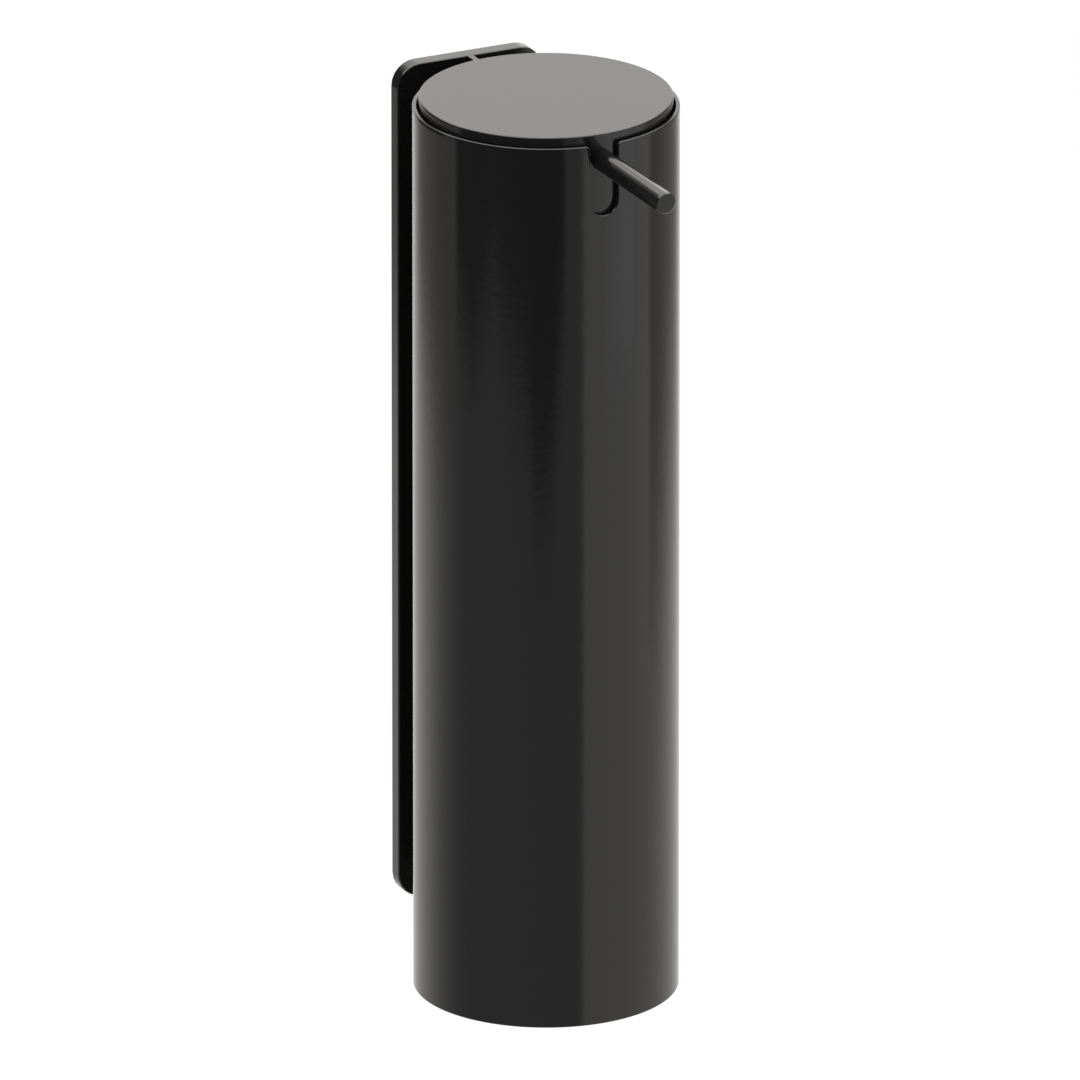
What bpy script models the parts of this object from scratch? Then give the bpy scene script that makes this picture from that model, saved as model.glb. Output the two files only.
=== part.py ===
"""Wall-mounted soap dispenser: a slotted tube on a narrow wall plate, with a lift-out bottle and pump.

Run it in Blender 4.5: blender --background --python part.py, or from the text editor.
Units are metres and +Z is up. The origin is the centre of the wall plate's back, the wall is at +Y,
and the spout points along -Y. Heights on the tube and pump are drops below the tube's rim.
"""
import math

import bmesh
import bpy

# Housing tube, with its open slot at the front
TUBE_DIAMETER = 0.0600
TUBE_WALL = 0.0010
TUBE_HEIGHT = 0.2100
TUBE_EDGE_ROUND = 0.0003
SLOT_SIDE_GAP = 0.0010
SLOT_DEPTH = 0.0168
SLOT_MOUTH_ROUND = 0.0010

# Back plate: a shallow tray, folded from sheet, that covers the wall bracket
PLATE_WIDTH = 0.0360
PLATE_HEIGHT = 0.2000
PLATE_DEPTH = 0.0035
PLATE_SHEET = 0.0012
PLATE_CORNER_RADIUS = 0.0056
PLATE_EDGE_ROUND = 0.0008
PLATE_BELOW_RIM = 0.0008
TUBE_STANDOFF = 0.0092
LOCK_BLOCK_WIDTH = 0.0080
LOCK_BLOCK_HEIGHT = 0.0040

# Wall bracket: the strip that is screwed to the wall, hidden in the tray
BRACKET_SIDE_GAP = 0.0010
BRACKET_TOP_GAP = 0.0015
BRACKET_CORNER_RADIUS = 0.0050
BRACKET_HOLE_DIAMETER = 0.0045
BRACKET_COUNTERSINK_DIAMETER = 0.0075
BRACKET_COUNTERSINK_DEPTH = 0.0015
BRACKET_HOLE_SPACING = 0.1400
HOOK_LEDGE_THICKNESS = 0.0008

# Spacer web between plate and tube, with two hooks on its back edge
WEB_THICKNESS = 0.0015
HOOK_SPACING = 0.0900
HOOK_NECK_HEIGHT = 0.0060
HOOK_LIP_LENGTH = 0.0030
HOOK_TIP_CHAMFER = 0.0003

# Locking screw under the tray
LOCK_SCREW_DIAMETER = 0.0020
LOCK_SCREW_RECESS = 0.0004
LOCK_SCREW_SOCKET = 0.0011
LOCK_SCREW_SOCKET_DEPTH = 0.0014
LOCK_SCREW_CHAMFER = 0.0003

# Base dish, pressed into the foot of the tube with its open side down
DISH_SHEET = 0.0012
DISH_HEIGHT = 0.0060
DISH_RECESS = 0.0004
DISH_ROUND = 0.0012
DISH_DRAIN_DIAMETER = 0.0060

# Push cap
CAP_RADIAL_GAP = 0.0004
CAP_PROUD = 0.0022
CAP_TOP_THICKNESS = 0.0015
CAP_SKIRT_WALL = 0.0010
CAP_SKIRT_OVERLAP = 0.0027
CAP_EDGE_ROUND = 0.0004

# Spout rod
ROD_DIAMETER = 0.0050
ROD_BORE = 0.0028
ROD_DROP = 0.0040
ROD_REACH = 0.0610
ROD_START = 0.0060
ROD_CHAMFER = 0.0003
ROD_END_WALL = 0.0016
OUTLET_DIAMETER = 0.0028
OUTLET_FROM_TIP = 0.0042

# Spout seal, an O-ring in a groove of the hub
SEAL_CORD = 0.0009
SEAL_FROM_AXIS = 0.0105
SEAL_GROOVE_GAP = 0.0001

# Actuator hub, a moulding that fills the cap and joins the rod to the stem
HUB_DISC_THICKNESS = 0.0012
HUB_RIM_WALL = 0.0012
HUB_RIM_HEIGHT = 0.0040
HUB_DIAMETER = 0.0140
HUB_SOCKET_DEPTH = 0.0040
HUB_BOSS_WALL = 0.0018
HUB_BOSS_LENGTH = 0.0170
HUB_RIB_THICKNESS = 0.0010
HUB_RIB_HEIGHT = 0.0026
HUB_RIB_PAIRS = 3
HUB_CHANNEL = 0.0028
HUB_RISER = 0.0024
HUB_VALVE_WEB = 0.0010
HUB_END_GAP = 0.0008
CAGE_SIDE_GAP = 0.0006

# Valve balls
OUTLET_BALL_DIAMETER = 0.0040
OUTLET_BALL_LIFT = 0.0007
INLET_BALL_DIAMETER = 0.0050
INLET_BALL_LIFT = 0.0007
BALL_SEAT_GAP = 0.0001

# Pump stem and piston
STEM_DIAMETER = 0.0064
STEM_BORE = 0.0032
STEM_FOOT_DIAMETER = 0.0114
STEM_FOOT_THICKNESS = 0.0010
PISTON_LENGTH = 0.0060
PISTON_WAIST_DEPTH = 0.0010
PISTON_LIP_LENGTH = 0.0009
PISTON_LIP_CUP = 0.0003
PISTON_LIP_THICKNESS = 0.0008

# Return spring
SPRING_DIAMETER = 0.0100
SPRING_WIRE = 0.0008
SPRING_PRESSED_LENGTH = 0.0167
SPRING_CURLS = 9
SPRING_POINTS_PER_CURL = 10

# Pump barrel
BARREL_BORE = 0.0130
BARREL_WALL = 0.0015
BARREL_FLANGE_THICKNESS = 0.0012
BARREL_FLOOR = 0.0012
BARREL_TAPER_HEIGHT = 0.0030
INLET_HOLE = 0.0032
INLET_LIP_THICKNESS = 0.0006
INLET_LIP_INSET = 0.0005
INLET_SEAT_THICKNESS = 0.0012
TUBE_SOCKET_DEPTH = 0.0085
TUBE_SOCKET_WALL = 0.0013

# Stem guide, which closes the barrel
GUIDE_FLANGE_DIAMETER = 0.0180
GUIDE_FLANGE_THICKNESS = 0.0016
GUIDE_LENGTH = 0.0096

# Neck gasket and screw collar
GASKET_THICKNESS = 0.0010
COLLAR_WALL = 0.0020
COLLAR_HEIGHT = 0.0140
COLLAR_TOP_THICKNESS = 0.0014
COLLAR_THREAD_GAP = 0.0004
COLLAR_ROUND = 0.0006
COLLAR_FLUTES = 30
COLLAR_FLUTE_DIAMETER = 0.0014
COLLAR_FLUTE_DEPTH = 0.0004
COLLAR_FLUTE_MARGIN = 0.0016

# Dip tube
DIP_TUBE_DIAMETER = 0.0060
DIP_TUBE_BORE = 0.0040
DIP_TUBE_FOOT_GAP = 0.0030

# Soap bottle
BOTTLE_SIDE_GAP = 0.0010
BOTTLE_WALL = 0.0012
NECK_DIAMETER = 0.0280
NECK_WALL = 0.0020
NECK_BEAD_WIDTH = 0.0014
NECK_BEAD_HEIGHT = 0.0010
NECK_BEAD_GAP = 0.0005
SHOULDER_GAP = 0.0010
SHOULDER_FALL = 0.0030
SHOULDER_ROUND = 0.0060
BOTTLE_FOOT_ROUND = 0.0030
BOTTLE_PUSH_UP = 0.0020
BOTTLE_FOOT_WIDTH = 0.0040

# Clearances and cutting
FIT_GAP = 0.0003
CUT_OVERRUN = 0.0010
MERGE_DISTANCE = 0.000001

# Round pieces: how many flats go round, and the turn of one step on a rounded corner
LARGE_STEPS = 80
MIDDLE_STEPS = 48
SMALL_STEPS = 28
FINE_STEPS = 20
BALL_STEPS = 14
CORNER_STEP = math.radians(22.5)
SMALL_ROUND = 0.0010
SMALL_CORNER_STEP = math.radians(45)
SHARP_ANGLE = math.radians(35)

# Places worked out from the sizes above
TUBE_RADIUS = TUBE_DIAMETER / 2
TUBE_INNER_RADIUS = TUBE_RADIUS - TUBE_WALL
TUBE_AXIS_Y = -(PLATE_DEPTH + TUBE_STANDOFF + TUBE_RADIUS)
RIM_Z = PLATE_HEIGHT / 2 + PLATE_BELOW_RIM
SLOT_WIDTH = ROD_DIAMETER + 2 * SLOT_SIDE_GAP
SLOT_ARC_DROP = SLOT_DEPTH - SLOT_WIDTH / 2
PRESS_STROKE = SLOT_ARC_DROP - ROD_DROP
ROD_HOLE_RADIUS = ROD_DIAMETER / 2 + FIT_GAP

CAP_RADIUS = TUBE_INNER_RADIUS - CAP_RADIAL_GAP
CAP_INNER_RADIUS = CAP_RADIUS - CAP_SKIRT_WALL
CAP_SKIRT_DROP = SLOT_DEPTH + CAP_SKIRT_OVERLAP
HUB_TOP_DROP = CAP_TOP_THICKNESS + FIT_GAP - CAP_PROUD

OUTLET_CAGE_TOP_DROP = ROD_DROP + ROD_HOLE_RADIUS + HUB_VALVE_WEB
OUTLET_BALL_RADIUS = OUTLET_BALL_DIAMETER / 2
OUTLET_SEAT_RISE = math.sqrt(OUTLET_BALL_RADIUS ** 2 - (STEM_BORE / 2) ** 2)
OUTLET_BALL_DROP = OUTLET_CAGE_TOP_DROP + BALL_SEAT_GAP + OUTLET_BALL_LIFT + OUTLET_BALL_RADIUS
STEM_TOP_DROP = OUTLET_BALL_DROP + BALL_SEAT_GAP + OUTLET_SEAT_RISE
HUB_BOTTOM_DROP = STEM_TOP_DROP + HUB_SOCKET_DEPTH

GUIDE_TOP_DROP = HUB_BOTTOM_DROP + PRESS_STROKE + HUB_END_GAP
GUIDE_FLANGE_DROP = GUIDE_TOP_DROP + GUIDE_FLANGE_THICKNESS
GUIDE_BOTTOM_DROP = GUIDE_TOP_DROP + GUIDE_LENGTH
COLLAR_TOP_DROP = GUIDE_FLANGE_DROP - COLLAR_TOP_THICKNESS
COLLAR_BOTTOM_DROP = COLLAR_TOP_DROP + COLLAR_HEIGHT
BARREL_TOP_DROP = GUIDE_FLANGE_DROP + FIT_GAP
GASKET_TOP_DROP = BARREL_TOP_DROP + BARREL_FLANGE_THICKNESS + FIT_GAP
NECK_TOP_DROP = GASKET_TOP_DROP + GASKET_THICKNESS + FIT_GAP

PISTON_TOP_DROP = GUIDE_BOTTOM_DROP + FIT_GAP
PISTON_BOTTOM_DROP = PISTON_TOP_DROP + PISTON_LENGTH
STEM_FOOT_DROP = PISTON_BOTTOM_DROP + FIT_GAP
STEM_BOTTOM_DROP = STEM_FOOT_DROP + STEM_FOOT_THICKNESS
SPRING_TOP_DROP = STEM_BOTTOM_DROP + FIT_GAP
SPRING_BOTTOM_DROP = SPRING_TOP_DROP + SPRING_PRESSED_LENGTH + PRESS_STROKE
BARREL_STEP_DROP = SPRING_BOTTOM_DROP + FIT_GAP

BARREL_BORE_RADIUS = BARREL_BORE / 2
BARREL_RADIUS = BARREL_BORE_RADIUS + BARREL_WALL
INLET_BALL_RADIUS = INLET_BALL_DIAMETER / 2
INLET_CAGE_RADIUS = INLET_BALL_RADIUS + CAGE_SIDE_GAP
INLET_SEAT_RISE = math.sqrt(INLET_BALL_RADIUS ** 2 - (INLET_HOLE / 2) ** 2)
INLET_CAGE_TOP_DROP = BARREL_STEP_DROP + INLET_LIP_THICKNESS
INLET_BALL_DROP = INLET_CAGE_TOP_DROP + BALL_SEAT_GAP + INLET_BALL_LIFT + INLET_BALL_RADIUS
INLET_SEAT_DROP = INLET_BALL_DROP + BALL_SEAT_GAP + INLET_SEAT_RISE
DIP_TUBE_TOP_DROP = INLET_SEAT_DROP + INLET_SEAT_THICKNESS + FIT_GAP
TUBE_SOCKET_RADIUS = DIP_TUBE_DIAMETER / 2 + FIT_GAP
TUBE_SOCKET_OUTER_RADIUS = TUBE_SOCKET_RADIUS + TUBE_SOCKET_WALL
BARREL_BOTTOM_DROP = INLET_SEAT_DROP + INLET_SEAT_THICKNESS + TUBE_SOCKET_DEPTH

NECK_RADIUS = NECK_DIAMETER / 2
NECK_BORE_RADIUS = NECK_RADIUS - NECK_WALL
FLANGE_RADIUS = NECK_RADIUS - COLLAR_THREAD_GAP
COLLAR_INNER_RADIUS = NECK_RADIUS + COLLAR_THREAD_GAP
COLLAR_RADIUS = COLLAR_INNER_RADIUS + COLLAR_WALL
COLLAR_HOLE_RADIUS = GUIDE_FLANGE_DIAMETER / 2 + FIT_GAP
NECK_BEAD_TOP_DROP = COLLAR_BOTTOM_DROP + NECK_BEAD_GAP
NECK_FOOT_DROP = NECK_BEAD_TOP_DROP + NECK_BEAD_HEIGHT + SHOULDER_GAP

DISH_RADIUS = TUBE_INNER_RADIUS - FIT_GAP
DISH_BOTTOM_DROP = TUBE_HEIGHT - DISH_RECESS
DISH_TOP_DROP = DISH_BOTTOM_DROP - DISH_HEIGHT
BOTTLE_RADIUS = TUBE_INNER_RADIUS - BOTTLE_SIDE_GAP
BOTTLE_BOTTOM_DROP = DISH_TOP_DROP - FIT_GAP
BOTTLE_INNER_RADIUS = BOTTLE_RADIUS - BOTTLE_WALL
BOTTLE_FLOOR_DROP = BOTTLE_BOTTOM_DROP - BOTTLE_WALL - BOTTLE_PUSH_UP

TRAY_POCKET_DEPTH = PLATE_DEPTH - PLATE_SHEET
TRAY_INNER_WIDTH = PLATE_WIDTH - 2 * PLATE_SHEET
TRAY_INNER_HEIGHT = PLATE_HEIGHT - 2 * PLATE_SHEET
BRACKET_THICKNESS = TRAY_POCKET_DEPTH - FIT_GAP
BRACKET_WIDTH = TRAY_INNER_WIDTH - 2 * BRACKET_SIDE_GAP
BRACKET_TOP_Z = TRAY_INNER_HEIGHT / 2 - BRACKET_TOP_GAP
LOCK_BLOCK_TOP_Z = LOCK_BLOCK_HEIGHT - TRAY_INNER_HEIGHT / 2
HOOK_LIFT = HOOK_LIP_LENGTH + FIT_GAP
BRACKET_BOTTOM_Z = LOCK_BLOCK_TOP_Z + HOOK_LIFT + FIT_GAP
HOOK_HEIGHTS = (-HOOK_SPACING / 2, HOOK_SPACING / 2)

# Collections and shared materials
PART_COLLECTION = "soap_dispenser"
CUTTER_COLLECTION = "cutters"
BLACK = (0.012, 0.012, 0.013)
GRAPHITE = (0.020, 0.020, 0.021)
STEEL = (0.560, 0.570, 0.580)
MILKY = (0.700, 0.710, 0.700)
SEAL_GREY = (0.060, 0.060, 0.065)


def start_clean():
    """Remove every object and make the two collections."""
    for old in list(bpy.data.objects):
        bpy.data.objects.remove(old, do_unlink=True)
    for name in (PART_COLLECTION, CUTTER_COLLECTION):
        bpy.context.scene.collection.children.link(bpy.data.collections.new(name))


def principled(name, colour, roughness, metallic=0.0):
    """A Principled material with one colour."""
    material = bpy.data.materials.new(name)
    material.use_nodes = True
    shader = material.node_tree.nodes["Principled BSDF"]
    shader.inputs["Base Color"].default_value = (*colour, 1.0)
    shader.inputs["Roughness"].default_value = roughness
    shader.inputs["Metallic"].default_value = metallic
    material.diffuse_color = (*colour, 1.0)
    return material


def empty(name, place, parent=None):
    """An empty that carries the pieces of one body, placed on that body's axis."""
    carrier = bpy.data.objects.new(name, None)
    carrier.location = place
    carrier.parent = parent
    bpy.data.collections[PART_COLLECTION].objects.link(carrier)
    return carrier


def place(piece, material=None, parent=None, location=None, rotation=None):
    """Put a piece in the part's collection, or a cutter without material in the cutters' one."""
    if location is not None:
        piece.location = location
    if rotation is not None:
        piece.rotation_euler = rotation
    piece.parent = parent
    if material is None:
        bpy.data.collections[CUTTER_COLLECTION].objects.link(piece)
        piece.hide_render = True
        piece.display_type = "WIRE"
        return piece
    bpy.data.collections[PART_COLLECTION].objects.link(piece)
    piece.data.materials.clear()
    piece.data.materials.append(material)
    return piece


def rounded(corners, closed):
    """Points along (u, v, round) corners, with an arc of the given radius at each round corner."""
    points = []
    count = len(corners)
    for index, (u, v, radius) in enumerate(corners):
        at_end = not closed and index in (0, count - 1)
        if at_end or radius == 0:
            points.append((u, v))
            continue
        back_u = corners[index - 1][0] - u
        back_v = corners[index - 1][1] - v
        next_u = corners[(index + 1) % count][0] - u
        next_v = corners[(index + 1) % count][1] - v
        back_length = math.hypot(back_u, back_v)
        next_length = math.hypot(next_u, next_v)
        back_u, back_v = back_u / back_length, back_v / back_length
        next_u, next_v = next_u / next_length, next_v / next_length
        inner_angle = math.acos(max(-1.0, min(1.0, back_u * next_u + back_v * next_v)))
        reach = min(radius / math.tan(inner_angle / 2), 0.49 * min(back_length, next_length))
        arc_radius = reach * math.tan(inner_angle / 2)
        middle_u, middle_v = back_u + next_u, back_v + next_v
        middle_length = math.hypot(middle_u, middle_v)
        centre_distance = arc_radius / math.sin(inner_angle / 2)
        centre_u = u + middle_u / middle_length * centre_distance
        centre_v = v + middle_v / middle_length * centre_distance
        start_u, start_v = u + back_u * reach - centre_u, v + back_v * reach - centre_v
        sweep = math.pi - inner_angle
        if back_u * next_v - back_v * next_u > 0:
            sweep = -sweep
        corner_step = SMALL_CORNER_STEP if radius <= SMALL_ROUND else CORNER_STEP
        steps = max(1, round(abs(sweep) / corner_step))
        for step in range(steps + 1):
            turn = sweep * step / steps
            points.append((centre_u + start_u * math.cos(turn) - start_v * math.sin(turn),
                           centre_v + start_u * math.sin(turn) + start_v * math.cos(turn)))
    return points


def evaluated_mesh(source, name):
    """The mesh that an object's modifiers or curve settings give, with its doubles merged."""
    bpy.context.view_layer.update()
    depsgraph = bpy.context.evaluated_depsgraph_get()
    mesh = bpy.data.meshes.new_from_object(source.evaluated_get(depsgraph))
    mesh.name = name
    shape = bmesh.new()
    shape.from_mesh(mesh)
    bmesh.ops.remove_doubles(shape, verts=shape.verts, dist=MERGE_DISTANCE)
    shape.to_mesh(mesh)
    shape.free()
    mesh.shade_smooth()
    mesh.set_sharp_from_angle(angle=SHARP_ANGLE)
    return mesh


def turned(name, corners, steps, closed=False):
    """A turned piece: corners (radius, height, round) run down the outer side and up the inner one."""
    points = rounded(corners, closed)
    edges = [(index, index + 1) for index in range(len(points) - 1)]
    if closed:
        edges.append((len(points) - 1, 0))
    profile = bpy.data.meshes.new(name + "_profile")
    profile.from_pydata([(radius, 0.0, height) for radius, height in points], edges, [])
    source = bpy.data.objects.new(name + "_profile", profile)
    bpy.context.scene.collection.objects.link(source)
    screw = source.modifiers.new("turn", "SCREW")
    screw.axis = "Z"
    screw.angle = math.tau
    screw.steps = steps
    screw.render_steps = steps
    screw.use_merge_vertices = True
    screw.merge_threshold = MERGE_DISTANCE
    mesh = evaluated_mesh(source, name)
    bpy.data.objects.remove(source, do_unlink=True)
    return bpy.data.objects.new(name, mesh)


def flat_piece(name, corners, thickness):
    """A flat outline of (u, v, round) corners, in the XY plane, with its thickness halved by it."""
    points = rounded(corners, closed=True)
    curve = bpy.data.curves.new(name + "_outline", "CURVE")
    curve.dimensions = "2D"
    curve.fill_mode = "BOTH"
    curve.extrude = thickness / 2
    spline = curve.splines.new("POLY")
    spline.points.add(len(points) - 1)
    for point, (u, v) in zip(spline.points, points):
        point.co = (u, v, 0.0, 1.0)
    spline.use_cyclic_u = True
    source = bpy.data.objects.new(name + "_outline", curve)
    bpy.context.scene.collection.objects.link(source)
    mesh = evaluated_mesh(source, name)
    bpy.data.objects.remove(source, do_unlink=True)
    return bpy.data.objects.new(name, mesh)


def block(name, low, high):
    """A box between two corners."""
    shape = bmesh.new()
    bmesh.ops.create_cube(shape, size=1.0)
    for vertex in shape.verts:
        vertex.co = [low[axis] + (vertex.co[axis] + 0.5) * (high[axis] - low[axis]) for axis in range(3)]
    mesh = bpy.data.meshes.new(name)
    shape.to_mesh(mesh)
    shape.free()
    return bpy.data.objects.new(name, mesh)


def combine(piece, tool, operation):
    """Cut, join or intersect a piece with a tool that stays in the cutters' collection."""
    step = piece.modifiers.new(tool.name, "BOOLEAN")
    step.operation = operation
    step.solver = "EXACT"
    step.object = tool
    return piece


def pin(radius, top, bottom):
    """Corners of a plain turned pin or bore."""
    return [(0.0, top, 0.0), (radius, top, 0.0), (radius, bottom, 0.0), (0.0, bottom, 0.0)]


def ball(name, diameter, location, parent, material):
    """A small valve ball on its own origin."""
    shape = bmesh.new()
    bmesh.ops.create_uvsphere(shape, u_segments=BALL_STEPS, v_segments=BALL_STEPS // 2, radius=diameter / 2)
    mesh = bpy.data.meshes.new(name)
    shape.to_mesh(mesh)
    shape.free()
    mesh.shade_smooth()
    return place(bpy.data.objects.new(name, mesh), material, parent, location)


def box_corners(half_width, low, high, radius):
    """Corners of an upright rectangle with one round for all four."""
    return [(-half_width, low, radius), (half_width, low, radius),
            (half_width, high, radius), (-half_width, high, radius)]


def make_wall_bracket(material):
    """The strip on the wall: two countersunk screw holes and two windows for the hooks."""
    corners = box_corners(BRACKET_WIDTH / 2, BRACKET_BOTTOM_Z, BRACKET_TOP_Z, BRACKET_CORNER_RADIUS)
    bracket = flat_piece("wall_bracket", corners, BRACKET_THICKNESS)
    place(bracket, material, location=(0.0, -BRACKET_THICKNESS / 2, 0.0), rotation=(math.pi / 2, 0.0, 0.0))
    hole_radius = BRACKET_HOLE_DIAMETER / 2
    sink_radius = BRACKET_COUNTERSINK_DIAMETER / 2
    for side in (-1, 1):
        corners = [(0.0, CUT_OVERRUN + BRACKET_THICKNESS, 0.0),
                   (sink_radius, CUT_OVERRUN + BRACKET_THICKNESS, 0.0),
                   (sink_radius, BRACKET_THICKNESS, 0.0),
                   (hole_radius, BRACKET_THICKNESS - BRACKET_COUNTERSINK_DEPTH, 0.0),
                   (hole_radius, -CUT_OVERRUN, 0.0),
                   (0.0, -CUT_OVERRUN, 0.0)]
        cutter = turned("screw_hole_cutter", corners, FINE_STEPS)
        place(cutter, location=(0.0, 0.0, side * BRACKET_HOLE_SPACING / 2), rotation=(math.pi / 2, 0.0, 0.0))
        combine(bracket, cutter, "DIFFERENCE")
    half_window = WEB_THICKNESS / 2 + FIT_GAP
    for height in HOOK_HEIGHTS:
        window = block("hook_window_cutter",
                       (-half_window, -BRACKET_THICKNESS - CUT_OVERRUN, height),
                       (half_window, CUT_OVERRUN, height + HOOK_NECK_HEIGHT + 2 * HOOK_LIFT))
        combine(bracket, place(window), "DIFFERENCE")
        ledge = block("hook_ledge_cutter",
                      (-half_window, HOOK_LEDGE_THICKNESS - BRACKET_THICKNESS, height - HOOK_LIFT),
                      (half_window, CUT_OVERRUN, height + HOOK_NECK_HEIGHT))
        combine(bracket, place(ledge), "DIFFERENCE")
    return bracket


def make_back_plate(material):
    """The tray over the bracket, its front edge rounded, with a block at the foot for the locking screw."""
    corners = box_corners(PLATE_WIDTH / 2, -PLATE_HEIGHT / 2, PLATE_HEIGHT / 2, PLATE_CORNER_RADIUS)
    plate = flat_piece("back_plate", corners, PLATE_DEPTH)
    place(plate, material, location=(0.0, -PLATE_DEPTH / 2, 0.0), rotation=(math.pi / 2, 0.0, 0.0))
    weights = plate.data.attributes.new("bevel_weight_edge", "FLOAT", "EDGE")
    sides = {}
    for face in plate.data.polygons:
        for key in face.edge_keys:
            sides.setdefault(key, []).append(abs(face.normal.z) > 0.5)
    for edge in plate.data.edges:
        start, end = (plate.data.vertices[index].co for index in edge.vertices)
        at_front = start.z > 0 and end.z > 0
        on_rim = len(set(sides[edge.key])) == 2
        weights.data[edge.index].value = 1.0 if at_front and on_rim else 0.0
    bevel = plate.modifiers.new("front_edge", "BEVEL")
    bevel.limit_method = "WEIGHT"
    bevel.width = PLATE_EDGE_ROUND
    bevel.segments = 3
    half_width = TRAY_INNER_WIDTH / 2
    half_height = TRAY_INNER_HEIGHT / 2
    half_block = LOCK_BLOCK_WIDTH / 2
    inner_round = PLATE_CORNER_RADIUS - PLATE_SHEET
    corners = [(-half_width, -half_height, inner_round),
               (-half_block, -half_height, 0.0),
               (-half_block, LOCK_BLOCK_TOP_Z, 0.0),
               (half_block, LOCK_BLOCK_TOP_Z, 0.0),
               (half_block, -half_height, 0.0),
               (half_width, -half_height, inner_round),
               (half_width, half_height, inner_round),
               (-half_width, half_height, inner_round)]
    pocket = flat_piece("tray_pocket_cutter", corners, TRAY_POCKET_DEPTH + CUT_OVERRUN)
    pocket_y = (CUT_OVERRUN - TRAY_POCKET_DEPTH) / 2
    combine(plate, place(pocket, location=(0.0, pocket_y, 0.0), rotation=(math.pi / 2, 0.0, 0.0)), "DIFFERENCE")
    half_slot = WEB_THICKNESS / 2 + FIT_GAP
    for height in HOOK_HEIGHTS:
        slot = block("hook_slot_cutter",
                     (-half_slot, -PLATE_DEPTH - CUT_OVERRUN, height - HOOK_LIP_LENGTH),
                     (half_slot, -PLATE_SHEET, height + HOOK_NECK_HEIGHT + 2 * FIT_GAP))
        combine(plate, place(slot), "DIFFERENCE")
    hole_radius = LOCK_SCREW_DIAMETER / 2 + FIT_GAP / 2
    hole = turned("lock_hole_cutter",
                  pin(hole_radius, BRACKET_BOTTOM_Z, -PLATE_HEIGHT / 2 - CUT_OVERRUN), FINE_STEPS)
    combine(plate, place(hole, location=(0.0, -PLATE_DEPTH / 2, 0.0)), "DIFFERENCE")
    return plate


def make_spacer_web(material):
    """The upright web from plate to tube, cut from sheet with two hooks that hang in the bracket."""
    plate_front = -PLATE_DEPTH - FIT_GAP
    tube_back = FIT_GAP - PLATE_DEPTH - TUBE_STANDOFF
    lip_front = HOOK_LEDGE_THICKNESS - BRACKET_THICKNESS + FIT_GAP
    lip_back = -FIT_GAP
    corners = [(tube_back, -PLATE_HEIGHT / 2, 0.0), (plate_front, -PLATE_HEIGHT / 2, 0.0)]
    for height in HOOK_HEIGHTS:
        seat = height + FIT_GAP
        corners += [(plate_front, seat, 0.0),
                    (lip_front, seat, 0.0),
                    (lip_front, seat - HOOK_LIP_LENGTH, 0.0),
                    (lip_back - HOOK_TIP_CHAMFER, seat - HOOK_LIP_LENGTH, 0.0),
                    (lip_back, seat - HOOK_LIP_LENGTH + HOOK_TIP_CHAMFER, 0.0),
                    (lip_back, seat + HOOK_NECK_HEIGHT, 0.0),
                    (plate_front, seat + HOOK_NECK_HEIGHT, 0.0)]
    corners += [(plate_front, PLATE_HEIGHT / 2, 0.0), (tube_back, PLATE_HEIGHT / 2, 0.0)]
    web = flat_piece("spacer_web", corners, WEB_THICKNESS)
    return place(web, material, rotation=(math.pi / 2, 0.0, math.pi / 2))


def make_locking_screw(material):
    """A small grub screw that comes up through the tray's block to just under the bracket."""
    bottom = LOCK_SCREW_RECESS - PLATE_HEIGHT / 2
    top = BRACKET_BOTTOM_Z - FIT_GAP
    radius = LOCK_SCREW_DIAMETER / 2
    corners = [(0.0, top, 0.0), (radius - LOCK_SCREW_CHAMFER, top, 0.0), (radius, top - LOCK_SCREW_CHAMFER, 0.0),
               (radius, bottom, 0.0), (0.0, bottom, 0.0)]
    screw = turned("locking_screw", corners, FINE_STEPS)
    place(screw, material, location=(0.0, -PLATE_DEPTH / 2, 0.0))
    socket = turned("screw_socket_cutter",
                    pin(LOCK_SCREW_SOCKET / 2, bottom + LOCK_SCREW_SOCKET_DEPTH, bottom - CUT_OVERRUN), 6)
    return combine(screw, place(socket, location=(0.0, -PLATE_DEPTH / 2, 0.0)), "DIFFERENCE")


def make_housing_tube(material, rim):
    """The tube, open at both ends, with the U slot that the spout rod slides down in."""
    corners = [(TUBE_INNER_RADIUS, 0.0, TUBE_EDGE_ROUND),
               (TUBE_RADIUS, 0.0, TUBE_EDGE_ROUND),
               (TUBE_RADIUS, -TUBE_HEIGHT, TUBE_EDGE_ROUND),
               (TUBE_INNER_RADIUS, -TUBE_HEIGHT, TUBE_EDGE_ROUND)]
    tube = place(turned("housing_tube", corners, LARGE_STEPS, closed=True), material, rim)
    half_slot = SLOT_WIDTH / 2
    mouth = half_slot + SLOT_MOUTH_ROUND
    top = CUT_OVERRUN
    corners = [(-mouth - SLOT_MOUTH_ROUND, top, 0.0),
               (-mouth - SLOT_MOUTH_ROUND, 0.0, 0.0),
               (-half_slot, 0.0, SLOT_MOUTH_ROUND),
               (-half_slot, -SLOT_DEPTH, half_slot),
               (half_slot, -SLOT_DEPTH, half_slot),
               (half_slot, 0.0, SLOT_MOUTH_ROUND),
               (mouth + SLOT_MOUTH_ROUND, 0.0, 0.0),
               (mouth + SLOT_MOUTH_ROUND, top, 0.0)]
    slot = flat_piece("spout_slot_cutter", corners, TUBE_RADIUS)
    slot_y = -TUBE_RADIUS
    place(slot, parent=rim, location=(0.0, slot_y, 0.0), rotation=(math.pi / 2, 0.0, 0.0))
    return combine(tube, slot, "DIFFERENCE")


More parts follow.
